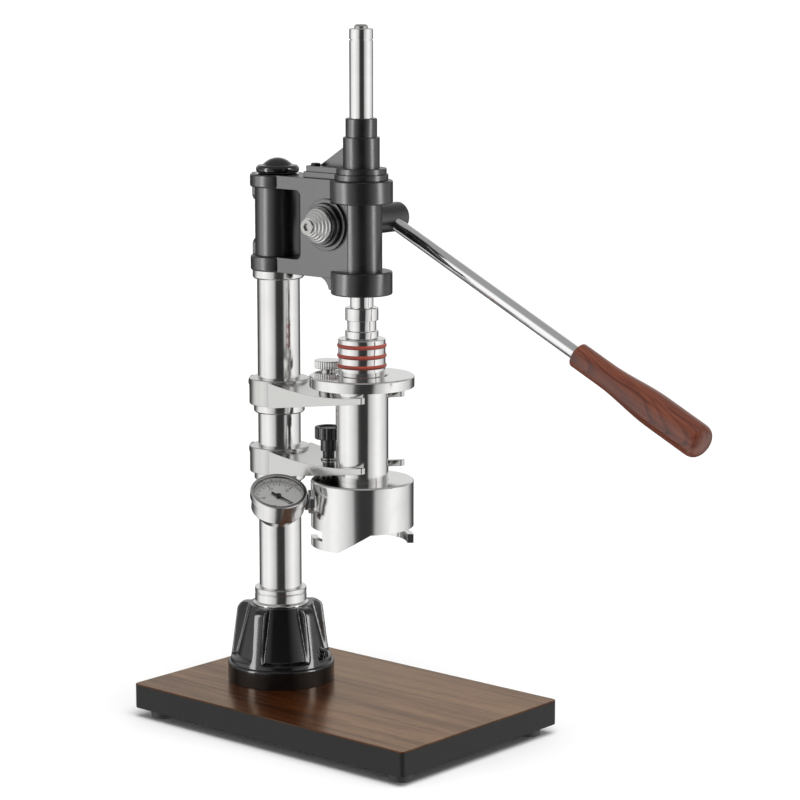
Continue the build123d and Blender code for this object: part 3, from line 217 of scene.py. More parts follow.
def makeTurnedMetal(name, look):
    wear = turnedWear
    material, tree, shader = startMaterial(name, look["colour"], 1.0, 0.15)
    pair, vector = aroundLine(tree, look["at"], look["turn"])
    rings = noise(tree, pair, look["lines"], 2.0, 0.6)
    smear = noise(tree, vector, wear["smear"], 4.0, 0.6, 0.4)
    both = weighed(tree, rings, wear["ringShare"], smear, wear["smearShare"])
    tree.links.new(spread(tree, both, *look["rough"]), shader.inputs["Roughness"])
    dark = tuple(c * wear["shade"] for c in look["colour"])
    colour = ramp(tree, smear, [(wear["shadeFrom"], dark), (wear["shadeTo"], look["colour"])])
    tree.links.new(colour, shader.inputs["Base Color"])
    bumped(tree, shader, rings, look["depth"])
    return material


alloyLook = dict(
    colour=(0.60, 0.596, 0.582), waves=42, scratchTurn=(0, 0, 0.5), scratch=(0.016, 0.0007, 0.0007),
    scratchHeight=0.03, scratchShare=0.5, rough=(0.10, 0.24), depth=0.00016, soft=0.0006,
)


def makePolishedAlloy():
    # buffed by hand: soft waves left in the casting under fine crossing scratches
    look = alloyLook
    material, tree, shader = startMaterial("polishedAlloy", look["colour"], 1.0, 0.16)
    waves = noise(tree, placed(tree), look["waves"], 2.0, 0.5)
    scratch = noise(tree, placed(tree, turn=look["scratchTurn"], size=look["scratch"]), 1.0, 2.0)
    worn = weighed(tree, scratch, look["scratchShare"], waves, 1 - look["scratchShare"])
    tree.links.new(spread(tree, worn, *look["rough"]), shader.inputs["Roughness"])
    height = weighed(tree, waves, 1.0, scratch, look["scratchHeight"])
    bumped(tree, shader, height, look["depth"], look["soft"])
    return material


chromeLook = dict(colour=(0.83, 0.83, 0.835), film=60, rough=(0.05, 0.12))


def makeChrome():
    look = chromeLook
    material, tree, shader = startMaterial("brightChrome", look["colour"], 1.0, 0.07)
    film = noise(tree, placed(tree), look["film"], 4.0, 0.6)
    tree.links.new(spread(tree, film, *look["rough"]), shader.inputs["Roughness"])
    return material


# paints, plastics and rubber

enamels = {
    "glossEnamel": dict(
        colour=(0.002, 0.002, 0.0022), rough=(0.10, 0.16), peel=300, depth=0.00002, shine=1.62, soft=0.0007),
    "satinEnamel": dict(
        colour=(0.002, 0.002, 0.0022), rough=(0.26, 0.34), peel=640, depth=0.000015, shine=1.65, soft=0.0008),
    "boardPaint": dict(
        colour=(0.0085, 0.0083, 0.008), rough=(0.40, 0.52), peel=900, depth=0.00005, shine=1.36, soft=0.001),
    "knobPlastic": dict(
        colour=(0.011, 0.011, 0.0115), rough=(0.26, 0.36), peel=1100, depth=0.00003, shine=1.5, soft=0.0005),
    "footRubber": dict(
        colour=(0.018, 0.018, 0.018), rough=(0.62, 0.78), peel=1600, depth=0.00006, shine=1.5, soft=0.0008),
    "sealSilicone": dict(
        colour=(0.255, 0.042, 0.026), rough=(0.30, 0.42), peel=900, depth=0.00002, shine=1.5, soft=0.0),
    "needlePaint": dict(
        colour=(0.012, 0.012, 0.012), rough=(0.38, 0.5), peel=2000, depth=0.00001, shine=1.5, soft=0.0),
    "markInk": dict(
        colour=(0.016, 0.016, 0.017), rough=(0.5, 0.6), peel=2500, depth=0.00001, shine=1.5, soft=0.0),
}
enamelWear = dict(cloud=45, cloudFrom=0.32, cloudTo=0.72, paleGain=1.35, paleLift=0.0005)


def makeEnamel(name, look):
    wear = enamelWear
    material, tree, shader = startMaterial(name, look["colour"], 0.0, 0.3)
    shader.inputs["IOR"].default_value = look["shine"]
    vector = placed(tree)
    peel = noise(tree, vector, look["peel"], 2.0, 0.5)
    cloud = noise(tree, vector, wear["cloud"], 3.0, 0.6)
    tree.links.new(spread(tree, cloud, *look["rough"]), shader.inputs["Roughness"])
    pale = tuple(c * wear["paleGain"] + wear["paleLift"] for c in look["colour"])
    colour = ramp(tree, cloud, [(wear["cloudFrom"], look["colour"]), (wear["cloudTo"], pale)])
    tree.links.new(colour, shader.inputs["Base Color"])
    bumped(tree, shader, peel, look["depth"], look["soft"])
    return material


dialLook = dict(
    colour=(0.50, 0.497, 0.485), dark=(0.46, 0.457, 0.446), pale=(0.54, 0.537, 0.524), grain=3000, rough=0.42,
)


def makeDialFace():
    look = dialLook
    material, tree, shader = startMaterial("dialFace", look["colour"], 0.0, look["rough"])
    grain = noise(tree, placed(tree), look["grain"], 2.0)
    colour = ramp(tree, grain, [(0.3, look["dark"]), (0.7, look["pale"])])
    tree.links.new(colour, shader.inputs["Base Color"])
    return material


glassLook = dict(tint=(0.02, 0.022, 0.022), film=160, rough=(0.01, 0.045), cover=0.10, shine=0.6)


def makeGlass():
    look = glassLook
    material, tree, shader = startMaterial("gaugeGlass", look["tint"], 0.0, 0.02)
    shader.inputs["Alpha"].default_value = look["cover"]
    shader.inputs["Specular IOR Level"].default_value = look["shine"]
    film = noise(tree, placed(tree), look["film"], 3.0)
    tree.links.new(spread(tree, film, *look["rough"]), shader.inputs["Roughness"])
    return material


# woods

walnutLook = dict(
    dark=(0.020, 0.0080, 0.0032), body=(0.044, 0.0180, 0.0074),
    warm=(0.066, 0.028, 0.0118), pale=(0.090, 0.040, 0.0180),
    varnish=(0.99, 0.79, 0.57), varnishDark=(0.66, 0.47, 0.31), varnishIor=1.16, varnishRough=0.20,
    drift=(0.30, 0.045, 0.045), figure=(0.16, 0.0085, 0.0085),
    fibre=(0.034, 0.00075, 0.00075), pores=(0.009, 0.00032, 0.00032),
    driftShare=0.35, figureShare=0.42, fibreShare=0.23, pitShare=0.8, pitStain=0.35,
    rough=(0.19, 0.27), fibreHeight=0.5, depth=0.00003,
)


def makeWalnut():
    look = walnutLook
    material, tree, shader = startMaterial("walnutVeneer", look["body"], 0.0, look["rough"][0])
    drift = noise(tree, placed(tree, size=look["drift"]), 1.0, 2.0, 0.5, 0.3)
    figure = noise(tree, placed(tree, size=look["figure"]), 1.0, 4.0, 0.6, 0.9)
    fibre = noise(tree, placed(tree, size=look["fibre"]), 1.0, 3.0, 0.6)
    pores = noise(tree, placed(tree, size=look["pores"]), 1.0, 1.0, 0.5)
    broad = weighed(tree, drift, look["driftShare"], figure, look["figureShare"])
    tone = sums(tree, "MULTIPLY_ADD", fibre, look["fibreShare"], broad)
    tones = [(0.36, look["dark"]), (0.46, look["body"]), (0.56, look["warm"]), (0.68, look["pale"])]
    pit = ramp(tree, pores, [(0.30, 0.35), (0.40, 1.0)])
    colour = mixed(tree, "MULTIPLY", look["pitShare"], ramp(tree, tone, tones), pit)
    tree.links.new(colour, shader.inputs["Base Color"])
    # a warm, thin varnish: what shines through it takes its colour, deeper along the dark grain
    shader.inputs["Coat Weight"].default_value = 1.0
    shader.inputs["Coat Roughness"].default_value = look["varnishRough"]
    shader.inputs["Coat IOR"].default_value = look["varnishIor"]
    stain = ramp(tree, tone, [(0.36, look["varnishDark"]), (0.58, look["varnish"])])
    tree.links.new(mixed(tree, "MULTIPLY", look["pitStain"], stain, pit), shader.inputs["Coat Tint"])
    tree.links.new(spread(tree, fibre, *look["rough"]), shader.inputs["Roughness"])
    bumped(tree, shader, sums(tree, "MULTIPLY_ADD", fibre, look["fibreHeight"], pit), look["depth"])
    return material


rosewoodLook = dict(
    dark=(0.040, 0.0082, 0.0042), body=(0.096, 0.0205, 0.0090),
    warm=(0.142, 0.035, 0.0148), pale=(0.185, 0.055, 0.024),
    coat=0.3, coatRough=0.2, rings=560.0, pithMiddle=0.287, pithTilt=0.085, pithAside=0.030, pithDrop=0.003,
    wander=(0.16, 0.034, 0.034), wanderAside=0.016, drift=(0.11, 0.013, 0.013),
    figure=(0.075, 0.0026, 0.0026), pores=(0.009, 0.0004, 0.0004),
    ringTones=[(0.0, 0.62), (0.5, 0.54), (0.85, 0.22), (0.92, 0.22), (1.0, 0.60)],
    driftShare=0.32, figureShare=0.40, ringShare=0.28, pitShare=0.7,
    rough=(0.28, 0.42), figureHeight=0.4, depth=0.00005,
)


def makeRosewood():
    # growth rings round a pith line behind the near face, slanting towards it: they come out as long arches
    look = rosewoodLook
    material, tree, shader = startMaterial("rosewoodGrip", look["body"], 0.0, 0.34)
    shader.inputs["Coat Weight"].default_value = look["coat"]
    shader.inputs["Coat Roughness"].default_value = look["coatRough"]
    turn = (0, leverSlope, 0)
    drift = noise(tree, placed(tree, pinionLine, turn, look["drift"]), 1.0, 3.0, 0.55, 0.8)
    figure = noise(tree, placed(tree, pinionLine, turn, look["figure"]), 1.0, 4.0, 0.6, 0.5)
    pores = noise(tree, placed(tree, pinionLine, turn, look["pores"]), 1.0, 1.0, 0.5)
    waves = noise(tree, placed(tree, pinionLine, turn, look["wander"]), 1.0, 2.0, 0.5, 0.4)
    parts = tree.nodes.new("ShaderNodeSeparateXYZ")
    tree.links.new(placed(tree, pinionLine, turn), parts.inputs["Vector"])
    pithAt = leverSide + look["pithAside"] + look["pithTilt"] * look["pithMiddle"]
    slant = sums(tree, "MULTIPLY_ADD", parts.outputs["X"], look["pithTilt"], -pithAt)
    aside = sums(tree, "ADD", parts.outputs["Y"], slant)
    above = sums(tree, "ADD", parts.outputs["Z"], look["pithDrop"])
    away = sums(tree, "SQRT", weighed(tree, above, above, aside, aside))
    wander = sums(tree, "MULTIPLY_ADD", waves, look["wanderAside"], away)
    ring = sums(tree, "FRACT", sums(tree, "MULTIPLY", wander, look["rings"]))
    soft = weighed(tree, drift, look["driftShare"], figure, look["figureShare"])
    tone = sums(tree, "MULTIPLY_ADD", ramp(tree, ring, look["ringTones"]), look["ringShare"], soft)
    tones = [(0.34, look["dark"]), (0.45, look["body"]), (0.54, look["warm"]), (0.64, look["pale"])]
    pit = ramp(tree, pores, [(0.30, 0.4), (0.40, 1.0)])
    colour = mixed(tree, "MULTIPLY", look["pitShare"], ramp(tree, tone, tones), pit)
    tree.links.new(colour, shader.inputs["Base Color"])
    tree.links.new(spread(tree, figure, *look["rough"]), shader.inputs["Roughness"])
    bumped(tree, shader, sums(tree, "MULTIPLY_ADD", figure, look["figureHeight"], pit), look["depth"])
    return material


finishes = {name: makeTurnedMetal(name, look) for name, look in turnedMetals.items()}
finishes.update({name: makeEnamel(name, look) for name, look in enamels.items()})
finishes["polishedAlloy"] = makePolishedAlloy()
finishes["brightChrome"] = makeChrome()
finishes["dialFace"] = makeDialFace()
finishes["gaugeGlass"] = makeGlass()
finishes["walnutVeneer"] = makeWalnut()
finishes["rosewoodGrip"] = makeRosewood()
print("materials made", len(finishes))


# finished copies of the CAD pieces: merged, edges broken where a width is given, smooth

pieceFinish = {
    "base_board": dict(finish="boardPaint", slot="black_board"),
    "board_veneer": dict(finish="walnutVeneer", slot="walnut"),
    "rubber_feet": dict(finish="footRubber", slot="rubber"),
    "foot_screws": dict(finish="screwSteel", slot="screw_steel"),
    "base_socket": dict(finish="glossEnamel", slot="black_gloss", modelled=True),
    "socket_bolts": dict(finish="screwSteel", slot="screw_steel"),
    "socket_set_screw": dict(finish="darkScrew", slot="dark_screw"),
    "base_ferrule": dict(finish="columnSteel", slot="polished_steel", edge=0.0003),
    "column_tube": dict(finish="columnSteel", slot="polished_steel"),
    "column_cap": dict(finish="glossEnamel", slot="black_plastic", modelled=True),
    "column_sleeve": dict(finish="satinEnamel", slot="black_satin"),
    "lower_arm": dict(finish="polishedAlloy", slot="polished_alloy"),
    "upper_arm": dict(finish="polishedAlloy", slot="polished_alloy"),
    "lower_arm_collar": dict(finish="columnSteel", slot="polished_steel", edge=0.0002),
    "upper_arm_collar": dict(finish="columnSteel", slot="polished_steel", edge=0.0002),
    "head_collar": dict(finish="columnSteel", slot="polished_steel", edge=0.0002),
    "arm_clamp_screws": dict(finish="darkScrew", slot="dark_screw"),
    "brew_cylinder": dict(finish="groupSteel", slot="polished_steel", edge=0.0002),
    "cylinder_flange": dict(finish="groupSteel", slot="polished_steel", edge=0.0004),
    "group_head": dict(finish="groupSteel", slot="polished_steel", edge=0.0004),
    "group_gasket": dict(finish="footRubber", slot="rubber"),
    "dispersion_block": dict(finish="turnedBrass", slot="brass", edge=0.0002),
    "shower_screen": dict(finish="groupSteel", slot="machined_steel"),
    "screen_screw": dict(finish="screwSteel", slot="screw_steel"),
    "gauge_case": dict(finish="gaugeSteel", slot="gauge_steel", edge=0.0003),
    "gauge_bezel": dict(finish="gaugeSteel", slot="gauge_steel"),
    "gauge_glass": dict(finish="gaugeGlass", slot="glass"),
    "gauge_dial": dict(finish="dialFace", slot="dial_white"),
    "gauge_stem": dict(finish="brightChrome", slot="chrome", edge=0.0002),
    "gauge_lock_nut": dict(finish="brightChrome", slot="chrome", edge=0.0002),
    "gauge_needle": dict(finish="needlePaint", slot="needle_black", edge=0.00006),
    "head_casting": dict(finish="satinEnamel", slot="black_satin"),
    "head_clamp_screws": dict(finish="darkScrew", slot="dark_screw"),
    "lower_rack_bush": dict(finish="turnedBrass", slot="brass"),
    "upper_rack_bush": dict(finish="turnedBrass", slot="brass"),
    "near_pinion_bush": dict(finish="turnedBrass", slot="brass"),
    "guide_plate": dict(finish="satinEnamel", slot="black_satin"),
    "rack_guide": dict(finish="satinEnamel", slot="black_satin"),
    "guide_screws": dict(finish="darkScrew", slot="dark_screw"),
    "bearing_cover": dict(finish="satinEnamel", slot="black_satin"),
    "bearing_nut": dict(finish="satinEnamel", slot="black_satin"),
    "pinion_shaft": dict(finish="pinionSteel", slot="machined_steel"),
    "shaft_end_cap": dict(finish="capSteel", slot="polished_steel", edge=0.0004),
    "shaft_end_screw": dict(finish="screwSteel", slot="screw_steel"),
    "lever_hub": dict(finish="satinEnamel", slot="black_satin"),
    "hub_lock_screw": dict(finish="darkScrew", slot="dark_screw"),
    "lever_rod": dict(finish="brightChrome", slot="chrome", edge=0.0002),
    "handle_grip": dict(finish="rosewoodGrip", slot="rosewood", modelled=True),
    "rack_bar": dict(finish="rodSteel", slot="machined_steel"),
    "rack_end_cap": dict(finish="rodSteel", slot="polished_steel"),
    "rack_end_screw": dict(finish="screwSteel", slot="screw_steel"),
    "piston_coupler": dict(finish="rodSteel", slot="polished_steel", edge=0.0002),
    "piston": dict(finish="rodSteel", slot="polished_steel"),
    "piston_seals": dict(finish="sealSilicone", slot="silicone"),
    "arm_knob": dict(finish="knobPlastic", slot="black_plastic"),
    "arm_knob_stud": dict(finish="screwSteel", slot="screw_steel"),
    "flange_screw": dict(finish="knobSteel", slot="machined_steel", edge=0.0002),
}
mergeWithin = 0.0000015
smoothAngle = 28
edgeAngle = 32
edgeSteps = 2


def pickOnly(obj):
    bpy.ops.object.select_all(action="DESELECT")
    obj.select_set(True)
    bpy.context.view_layer.objects.active = obj


def setFinish(obj, finish):
    obj.data.materials.clear()
    obj.data.materials.append(finishes[finish])


def breakEdges(obj, width):
    bevel = obj.modifiers.new("brokenEdges", "BEVEL")
    bevel.width = width
    bevel.segments = edgeSteps
    bevel.limit_method = "ANGLE"
    bevel.angle_limit = radians(edgeAngle)
    bevel.use_clamp_overlap = False
    bevel.loop_slide = False
    pickOnly(obj)
    bpy.ops.object.modifier_apply(modifier=bevel.name)


def smoothOut(obj, angle=smoothAngle):
    # flat faces keep their own shading beside the small faces of a fillet
    pickOnly(obj)
    bpy.ops.object.shade_smooth_by_angle(angle=radians(angle))
    weighted = obj.modifiers.new("flatFaces", "WEIGHTED_NORMAL")
    weighted.keep_sharp = True
    bpy.ops.object.modifier_apply(modifier=weighted.name)


def standIn(obj, name):
    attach(obj, bodyOf[name])
    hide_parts(name)


def finishNode(name, look):
    node = frame["nodes"][name]
    setFinish(node, look["finish"])
    copy = bpy.data.objects.new(name + "_finished", node.data.copy())
    bpy.context.scene.collection.objects.link(copy)
    pickOnly(copy)
    bpy.ops.object.mode_set(mode="EDIT")
    bpy.ops.mesh.select_all(action="SELECT")
    bpy.ops.mesh.remove_doubles(threshold=mergeWithin)
    bpy.ops.object.mode_set(mode="OBJECT")
    bpy.ops.mesh.customdata_custom_splitnormals_clear()
    if "edge" in look:
        breakEdges(copy, look["edge"])
    smoothOut(copy)
    standIn(copy, name)
    return copy


copied = {name: look for name, look in pieceFinish.items() if "modelled" not in look}
finished = {name: finishNode(name, look) for name, look in copied.items()}
print("pieces finished", len(finished))


# turned pieces, drawn out ring by ring along Z from a filled circle and then put in place

def eased(value, low, high):
    share = min(max((value - low) / (high - low), 0.0), 1.0)
    return share * share * (3 - 2 * share)


def drawRings(rings, sides):
    along, radius = rings[0]
    bpy.ops.object.select_all(action="DESELECT")
    bpy.ops.mesh.primitive_circle_add(vertices=sides, radius=radius, fill_type="NGON")
    bpy.ops.object.mode_set(mode="EDIT")
    bpy.ops.transform.translate(value=(0, 0, along))
    for newAlong, newRadius in rings[1:]:
        bpy.ops.mesh.extrude_region_move(TRANSFORM_OT_translate={"value": (0, 0, newAlong - along)})
        scale = newRadius / radius
        bpy.ops.transform.resize(value=(scale, scale, 1), center_override=(0, 0, newAlong))
        along = newAlong
        radius = newRadius
    bpy.ops.mesh.poke(offset=0)
    bpy.ops.mesh.select_all(action="SELECT")
    bpy.ops.mesh.normals_make_consistent(inside=False)
    bpy.ops.object.mode_set(mode="OBJECT")
    return bpy.context.object


def finishTurned(piece, name, place, angle=smoothAngle):
    piece.data.transform(place)
    piece.name = name + "_finished"
    piece.data.name = piece.name
    look = pieceFinish[name]
    setFinish(piece, look["finish"])
    setFinish(frame["nodes"][name], look["finish"])
    smoothOut(piece, angle)
    standIn(piece, name)
    finished[name] = piece


# grip: a straight neck, a quick flare and a full round nose

gripShape = dict(
    start=0.2165, tip=0.351, sides=80, holeRadius=0.00565, holeDepth=0.090,
    neck=0.0104, corner=0.0013, cornerSteps=4, swell=0.0141, flareFrom=0.247, flareTo=0.301, bodySteps=30,
    nose=0.0115, noseSteps=10, nosePower=2.5,
)


def gripRadius(along):
    shape = gripShape
    flared = eased(along, shape["flareFrom"], shape["flareTo"])
    return shape["neck"] + (shape["swell"] - shape["neck"]) * flared


def gripRings():
    shape = gripShape
    start = shape["start"]
    corner = shape["corner"]
    rings = [(start + shape["holeDepth"], shape["holeRadius"]), (start, shape["holeRadius"])]
    for step in range(shape["cornerSteps"] + 1):
        turned = pi / 2 * step / shape["cornerSteps"]
        rings.append((start + corner * (1 - cos(turned)), shape["neck"] - corner * (1 - sin(turned))))
    noseFrom = shape["tip"] - shape["nose"]
    bodyLong = noseFrom - start - corner
    for step in range(1, shape["bodySteps"] + 1):
        along = start + corner + bodyLong * step / shape["bodySteps"]
        rings.append((along, gripRadius(along)))
    for step in range(1, shape["noseSteps"]):
        turned = pi / 2 * step / shape["noseSteps"]
        power = 2 / shape["nosePower"]
        rings.append((noseFrom + shape["nose"] * sin(turned) ** power, shape["swell"] * cos(turned) ** power))
    return rings


def makeGrip():
    line = Vector((cos(leverSplay) * cos(leverSlope), sin(leverSplay), -cos(leverSplay) * sin(leverSlope)))
    hub = Vector((pinionLine[0], leverSide, pinionLine[2]))
    place = Matrix.Translation(hub) @ line.to_track_quat("Z", "Y").to_matrix().to_4x4()
    finishTurned(drawRings(gripRings(), gripShape["sides"]), "handle_grip", place)


# column cap: a bulging ring under a low dome

capShape = dict(
    sides=96, stands=0.013, ringHigh=0.0070, bulge=0.0027, ringSteps=12,
    domeRadius=0.0122, domeLift=0.0003, domeSteps=9,
)


def makeCap():
    shape = capShape
    low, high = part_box("column_cap")
    outer = (high[0] - low[0]) / 2
    seat = high[2] - shape["stands"]  # ring and dome stand on the head
    rings = []
    for step in range(shape["ringSteps"] + 1):
        turned = pi * step / shape["ringSteps"] - pi / 2
        rise = shape["ringHigh"] / 2 * (1 + sin(turned))
        rings.append((rise, outer - shape["bulge"] * (1 - cos(turned))))
    base = shape["ringHigh"] + shape["domeLift"]
    domeHigh = high[2] - seat - base
    ball = (shape["domeRadius"] ** 2 + domeHigh ** 2) / (2 * domeHigh)
    widest = asin(shape["domeRadius"] / ball)
    for step in range(shape["domeSteps"]):
        turned = widest * (1 - step / shape["domeSteps"])
        rings.append((base + domeHigh - ball * (1 - cos(turned)), ball * sin(turned)))
    place = Matrix.Translation((columnLine[0], 0, seat))
    finishTurned(drawRings(rings, shape["sides"]), "column_cap", place)


# base socket: a cone with round-bottomed pockets between its ribs, over a plain ring

socketShape = dict(
    sides=600, ring=0.0452, ringHigh=0.0160, ringRound=0.0022, ringSteps=6,
    coreFoot=0.0388, coreTop=0.0268, crestFoot=0.0430, crestTop=0.0365, shoulder=0.006,
    pocketFrom=0.0188, pocketTo=0.0218, pocketSteps=18, wallSteps=22, crowding=1.6, shoulderSteps=9,
    ribs=5, ribStart=-77.0, landHalf=0.0033, wall=0.0022, flare=0.0060, flareHigh=0.0028,
    bossTurn=22.0, bossHigh=0.021, bossRadius=0.0052, bossEdge=0.0018, bossFace=0.0409,
    bore=0.0179, floor=0.006, smoothAngle=60, margin=1e-6,
)


def socketRadius(bearing, rise, high):
    shape = socketShape
    up = (rise - shape["ringHigh"]) / (high - shape["ringHigh"])
    core = shape["coreFoot"] + (shape["coreTop"] - shape["coreFoot"]) * up
    crest = shape["crestFoot"] + (shape["crestTop"] - shape["crestFoot"]) * up
    over = rise - high + shape["shoulder"]
    if over > 0:
        crest += sqrt(max(shape["shoulder"] ** 2 - over ** 2, 0.0)) - shape["shoulder"]
    spacing = 2 * pi / shape["ribs"]
    turned = (bearing - radians(shape["ribStart"]) + spacing / 2) % spacing - spacing / 2
    aside = abs(turned) * core
    # a rib's foot spreads into the ring, so the pocket between two ribs ends in a round corner
    land = shape["landHalf"] + shape["flare"] * exp(-(rise - shape["ringHigh"]) / shape["flareHigh"])
    onRib = 1 - eased(aside, land, land + shape["wall"])
    dug = eased(rise, shape["pocketFrom"], shape["pocketTo"])
    radius = crest + (core - crest) * (1 - onRib) * dug
    # a low boss round the set screw
    offBoss = hypot((bearing - radians(shape["bossTurn"])) * shape["bossFace"], rise - shape["bossHigh"])
    boss = 1 - eased(offBoss, shape["bossRadius"], shape["bossRadius"] + shape["bossEdge"])
    return max(radius, radius + (shape["bossFace"] - radius) * boss)


def makeSocket():
    shape = socketShape
    low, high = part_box("base_socket")
    tall = high[2] - low[2]
    ringTop = shape["ringHigh"]
    rings = [(0.0, shape["ring"])]
    for step in range(shape["ringSteps"] + 1):
        turned = pi / 2 * step / shape["ringSteps"]
        inset = shape["ringRound"] * (1 - cos(turned))
        rings.append((ringTop - shape["ringRound"] * (1 - sin(turned)), shape["ring"] - inset))
    levels = []
    for step in range(1, shape["pocketSteps"] + 1):
        levels.append(ringTop + (shape["pocketTo"] - ringTop) * step / shape["pocketSteps"])
    shoulderFrom = tall - shape["shoulder"]
    for step in range(1, shape["wallSteps"] + 1):
        share = (step / shape["wallSteps"]) ** shape["crowding"]
        levels.append(shape["pocketTo"] + (shoulderFrom - shape["pocketTo"]) * share)
    for step in range(1, shape["shoulderSteps"] + 1):
        levels.append(shoulderFrom + shape["shoulder"] * sin(pi / 2 * step / shape["shoulderSteps"]))
    rings += [(level, shape["crestFoot"]) for level in levels]
    rings += [(tall, shape["bore"]), (shape["floor"], shape["bore"])]
    socket = drawRings(rings, shape["sides"])
    for vertex in socket.data.vertices:
        x, y, rise = vertex.co
        away = hypot(x, y)
        if rise > ringTop + shape["margin"] and away > shape["bore"] + shape["margin"]:
            scale = socketRadius(atan2(y, x), rise, tall) / away
            vertex.co = (x * scale, y * scale, rise)
    place = Matrix.Translation((columnLine[0], 0, low[2]))
    finishTurned(socket, "base_socket", place, shape["smoothAngle"])


makeGrip()
makeCap()
makeSocket()
print("grip, cap and socket turned")


# dial: raised ticks and plain numbers

dialPrint = dict(
    radius=0.0186, lift=0.00572, thick=0.00008, shrink=0.82, zero=-45.0, sweep=270.0, steps=16,
    ticksPerStep=2, longEvery=8, middleEvery=2, numbers=(0, 4, 8, 12, 16), textSize=0.0043, textRadius=0.0119,
)
tickSizes = dict(long=(0.0040, 0.0009), middle=(0.0030, 0.0006), short=(0.0018, 0.0004))


def dialAngle(value):
    return radians(dialPrint["zero"] - dialPrint["sweep"] * value / dialPrint["steps"])


def printed(obj, name, finish):
    obj.name = name
    obj.data.name = name
    setFinish(obj, finish)
    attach(obj, "stand")
    return obj


def modelTick(length, wide):
    bpy.ops.object.select_all(action="DESELECT")
    bpy.ops.mesh.primitive_plane_add(size=1)
    bpy.ops.object.mode_set(mode="EDIT")
    bpy.ops.transform.resize(value=(length, wide, 1), center_override=(0, 0, 0))
    bpy.ops.mesh.extrude_region_move(TRANSFORM_OT_translate={"value": (0, 0, dialPrint["thick"])})
    topWide = wide * (1 - dialPrint["shrink"])
    topShares = ((length - topWide) / length, dialPrint["shrink"], 1)
    bpy.ops.transform.resize(value=topShares, center_override=(0, 0, dialPrint["thick"]))
    bpy.ops.mesh.select_all(action="SELECT")
    bpy.ops.mesh.normals_make_consistent(inside=False)
    bpy.ops.object.mode_set(mode="OBJECT")
    return bpy.context.object


def joined(objects):
    bpy.ops.object.select_all(action="DESELECT")
    for obj in objects:
        obj.select_set(True)
    bpy.context.view_layer.objects.active = objects[0]
    bpy.ops.object.join()
    return bpy.context.object


def makeTicks():
    models = {size: modelTick(*sides) for size, sides in tickSizes.items()}
    ticks = []
    for count in range(dialPrint["steps"] * dialPrint["ticksPerStep"] + 1):
        size = "short"
        if count % dialPrint["middleEvery"] == 0:
            size = "middle"
        if count % dialPrint["longEvery"] == 0:
            size = "long"
        tick = models[size].copy()
        tick.data = models[size].data.copy()
        bpy.context.collection.objects.link(tick)
        turn = Matrix.Rotation(dialAngle(count / dialPrint["ticksPerStep"]), 4, "Z")
        inward = dialPrint["radius"] - tickSizes[size][0] / 2
        place = Matrix.Translation((inward, 0, dialPrint["lift"] - dialPrint["thick"] / 2))
        tick.data.transform(Matrix.Translation(gaugeAt) @ gaugeFrame.to_4x4() @ turn @ place)
        ticks.append(tick)
    for model in models.values():
        bpy.data.objects.remove(model)
    return printed(joined(ticks), "dial_ticks", "markInk")


def makeNumbers():
    texts = []
    for value in dialPrint["numbers"]:
        bpy.ops.object.select_all(action="DESELECT")
        bpy.ops.object.text_add()
        text = bpy.context.object
        text.data.body = str(value)
        text.data.size = dialPrint["textSize"]
        text.data.align_x = "CENTER"
        text.data.align_y = "CENTER"
        text.data.extrude = dialPrint["thick"] / 2
        pickOnly(text)
        bpy.ops.object.convert(target="MESH")
        angle = dialAngle(value)
        away = dialPrint["textRadius"]
        spot = Matrix.Translation((away * cos(angle), away * sin(angle), dialPrint["lift"]))
        upright = Matrix.Rotation(pi / 2, 4, "Z")  # the dial's six o'clock is its local x
        text.data.transform(Matrix.Translation(gaugeAt) @ gaugeFrame.to_4x4() @ spot @ upright)
        texts.append(text)
    return printed(joined(texts), "dial_numbers", "markInk")


makeTicks()
makeNumbers()
print("dial printed")


# studio: pale floor, soft light, banded surroundings for the steel to mirror

studio = dict(
    floorSize=90.0, floorTone=0.88, floorRough=0.85, topTone=0.38,
    sunPower=2.8, sunSpread=50, sunLine=(-0.35, 0.15, -1.0),
    cameraAt=(1.4762, -1.6295, 0.6565), yaw=40.94, pitch=9.825, lens=122.5, sensor=36, sight=200,
    # shares of the way from straight down to straight up where walls turn into sky and sky into the top
    skyline=[(0.49, 0.0), (0.53, 1.0)], zenith=[(0.70, 0.0), (0.86, 1.0)],
    # brightness by bearing, 0.5 straight at the camera, below the horizon and above it
    wallBands=[
        (0.0, 0.10), (0.085, 0.06), (0.125, 0.12), (0.16, 0.40), (0.205, 0.95), (0.24, 1.08),
        (0.27, 1.04), (0.305, 1.15), (0.335, 1.12), (0.352, 1.04), (0.385, 0.92), (0.412, 0.76),
        (0.441, 0.58), (0.462, 0.09), (0.49, 0.04), (0.566, 0.04), (0.588, 0.58), (0.62, 0.74),
        (0.655, 0.98), (0.69, 1.15), (0.725, 1.15), (0.765, 1.0), (0.80, 0.88), (0.845, 0.70),
        (0.885, 0.28), (0.912, 0.09), (0.95, 0.06), (1.0, 0.10),
    ],
    skyBands=[
        (0.0, 0.80), (0.14, 0.55), (0.19, 0.25), (0.24, 0.80), (0.295, 1.15), (0.335, 1.15), (0.40, 0.65),
        (0.44, 0.08), (0.57, 0.05), (0.61, 0.45), (0.68, 1.1), (0.73, 1.1), (0.76, 0.80), (0.80, 0.30),
        (0.86, 0.45), (0.92, 0.80), (1.0, 0.80),
    ],
    lampAway=3.0,
)
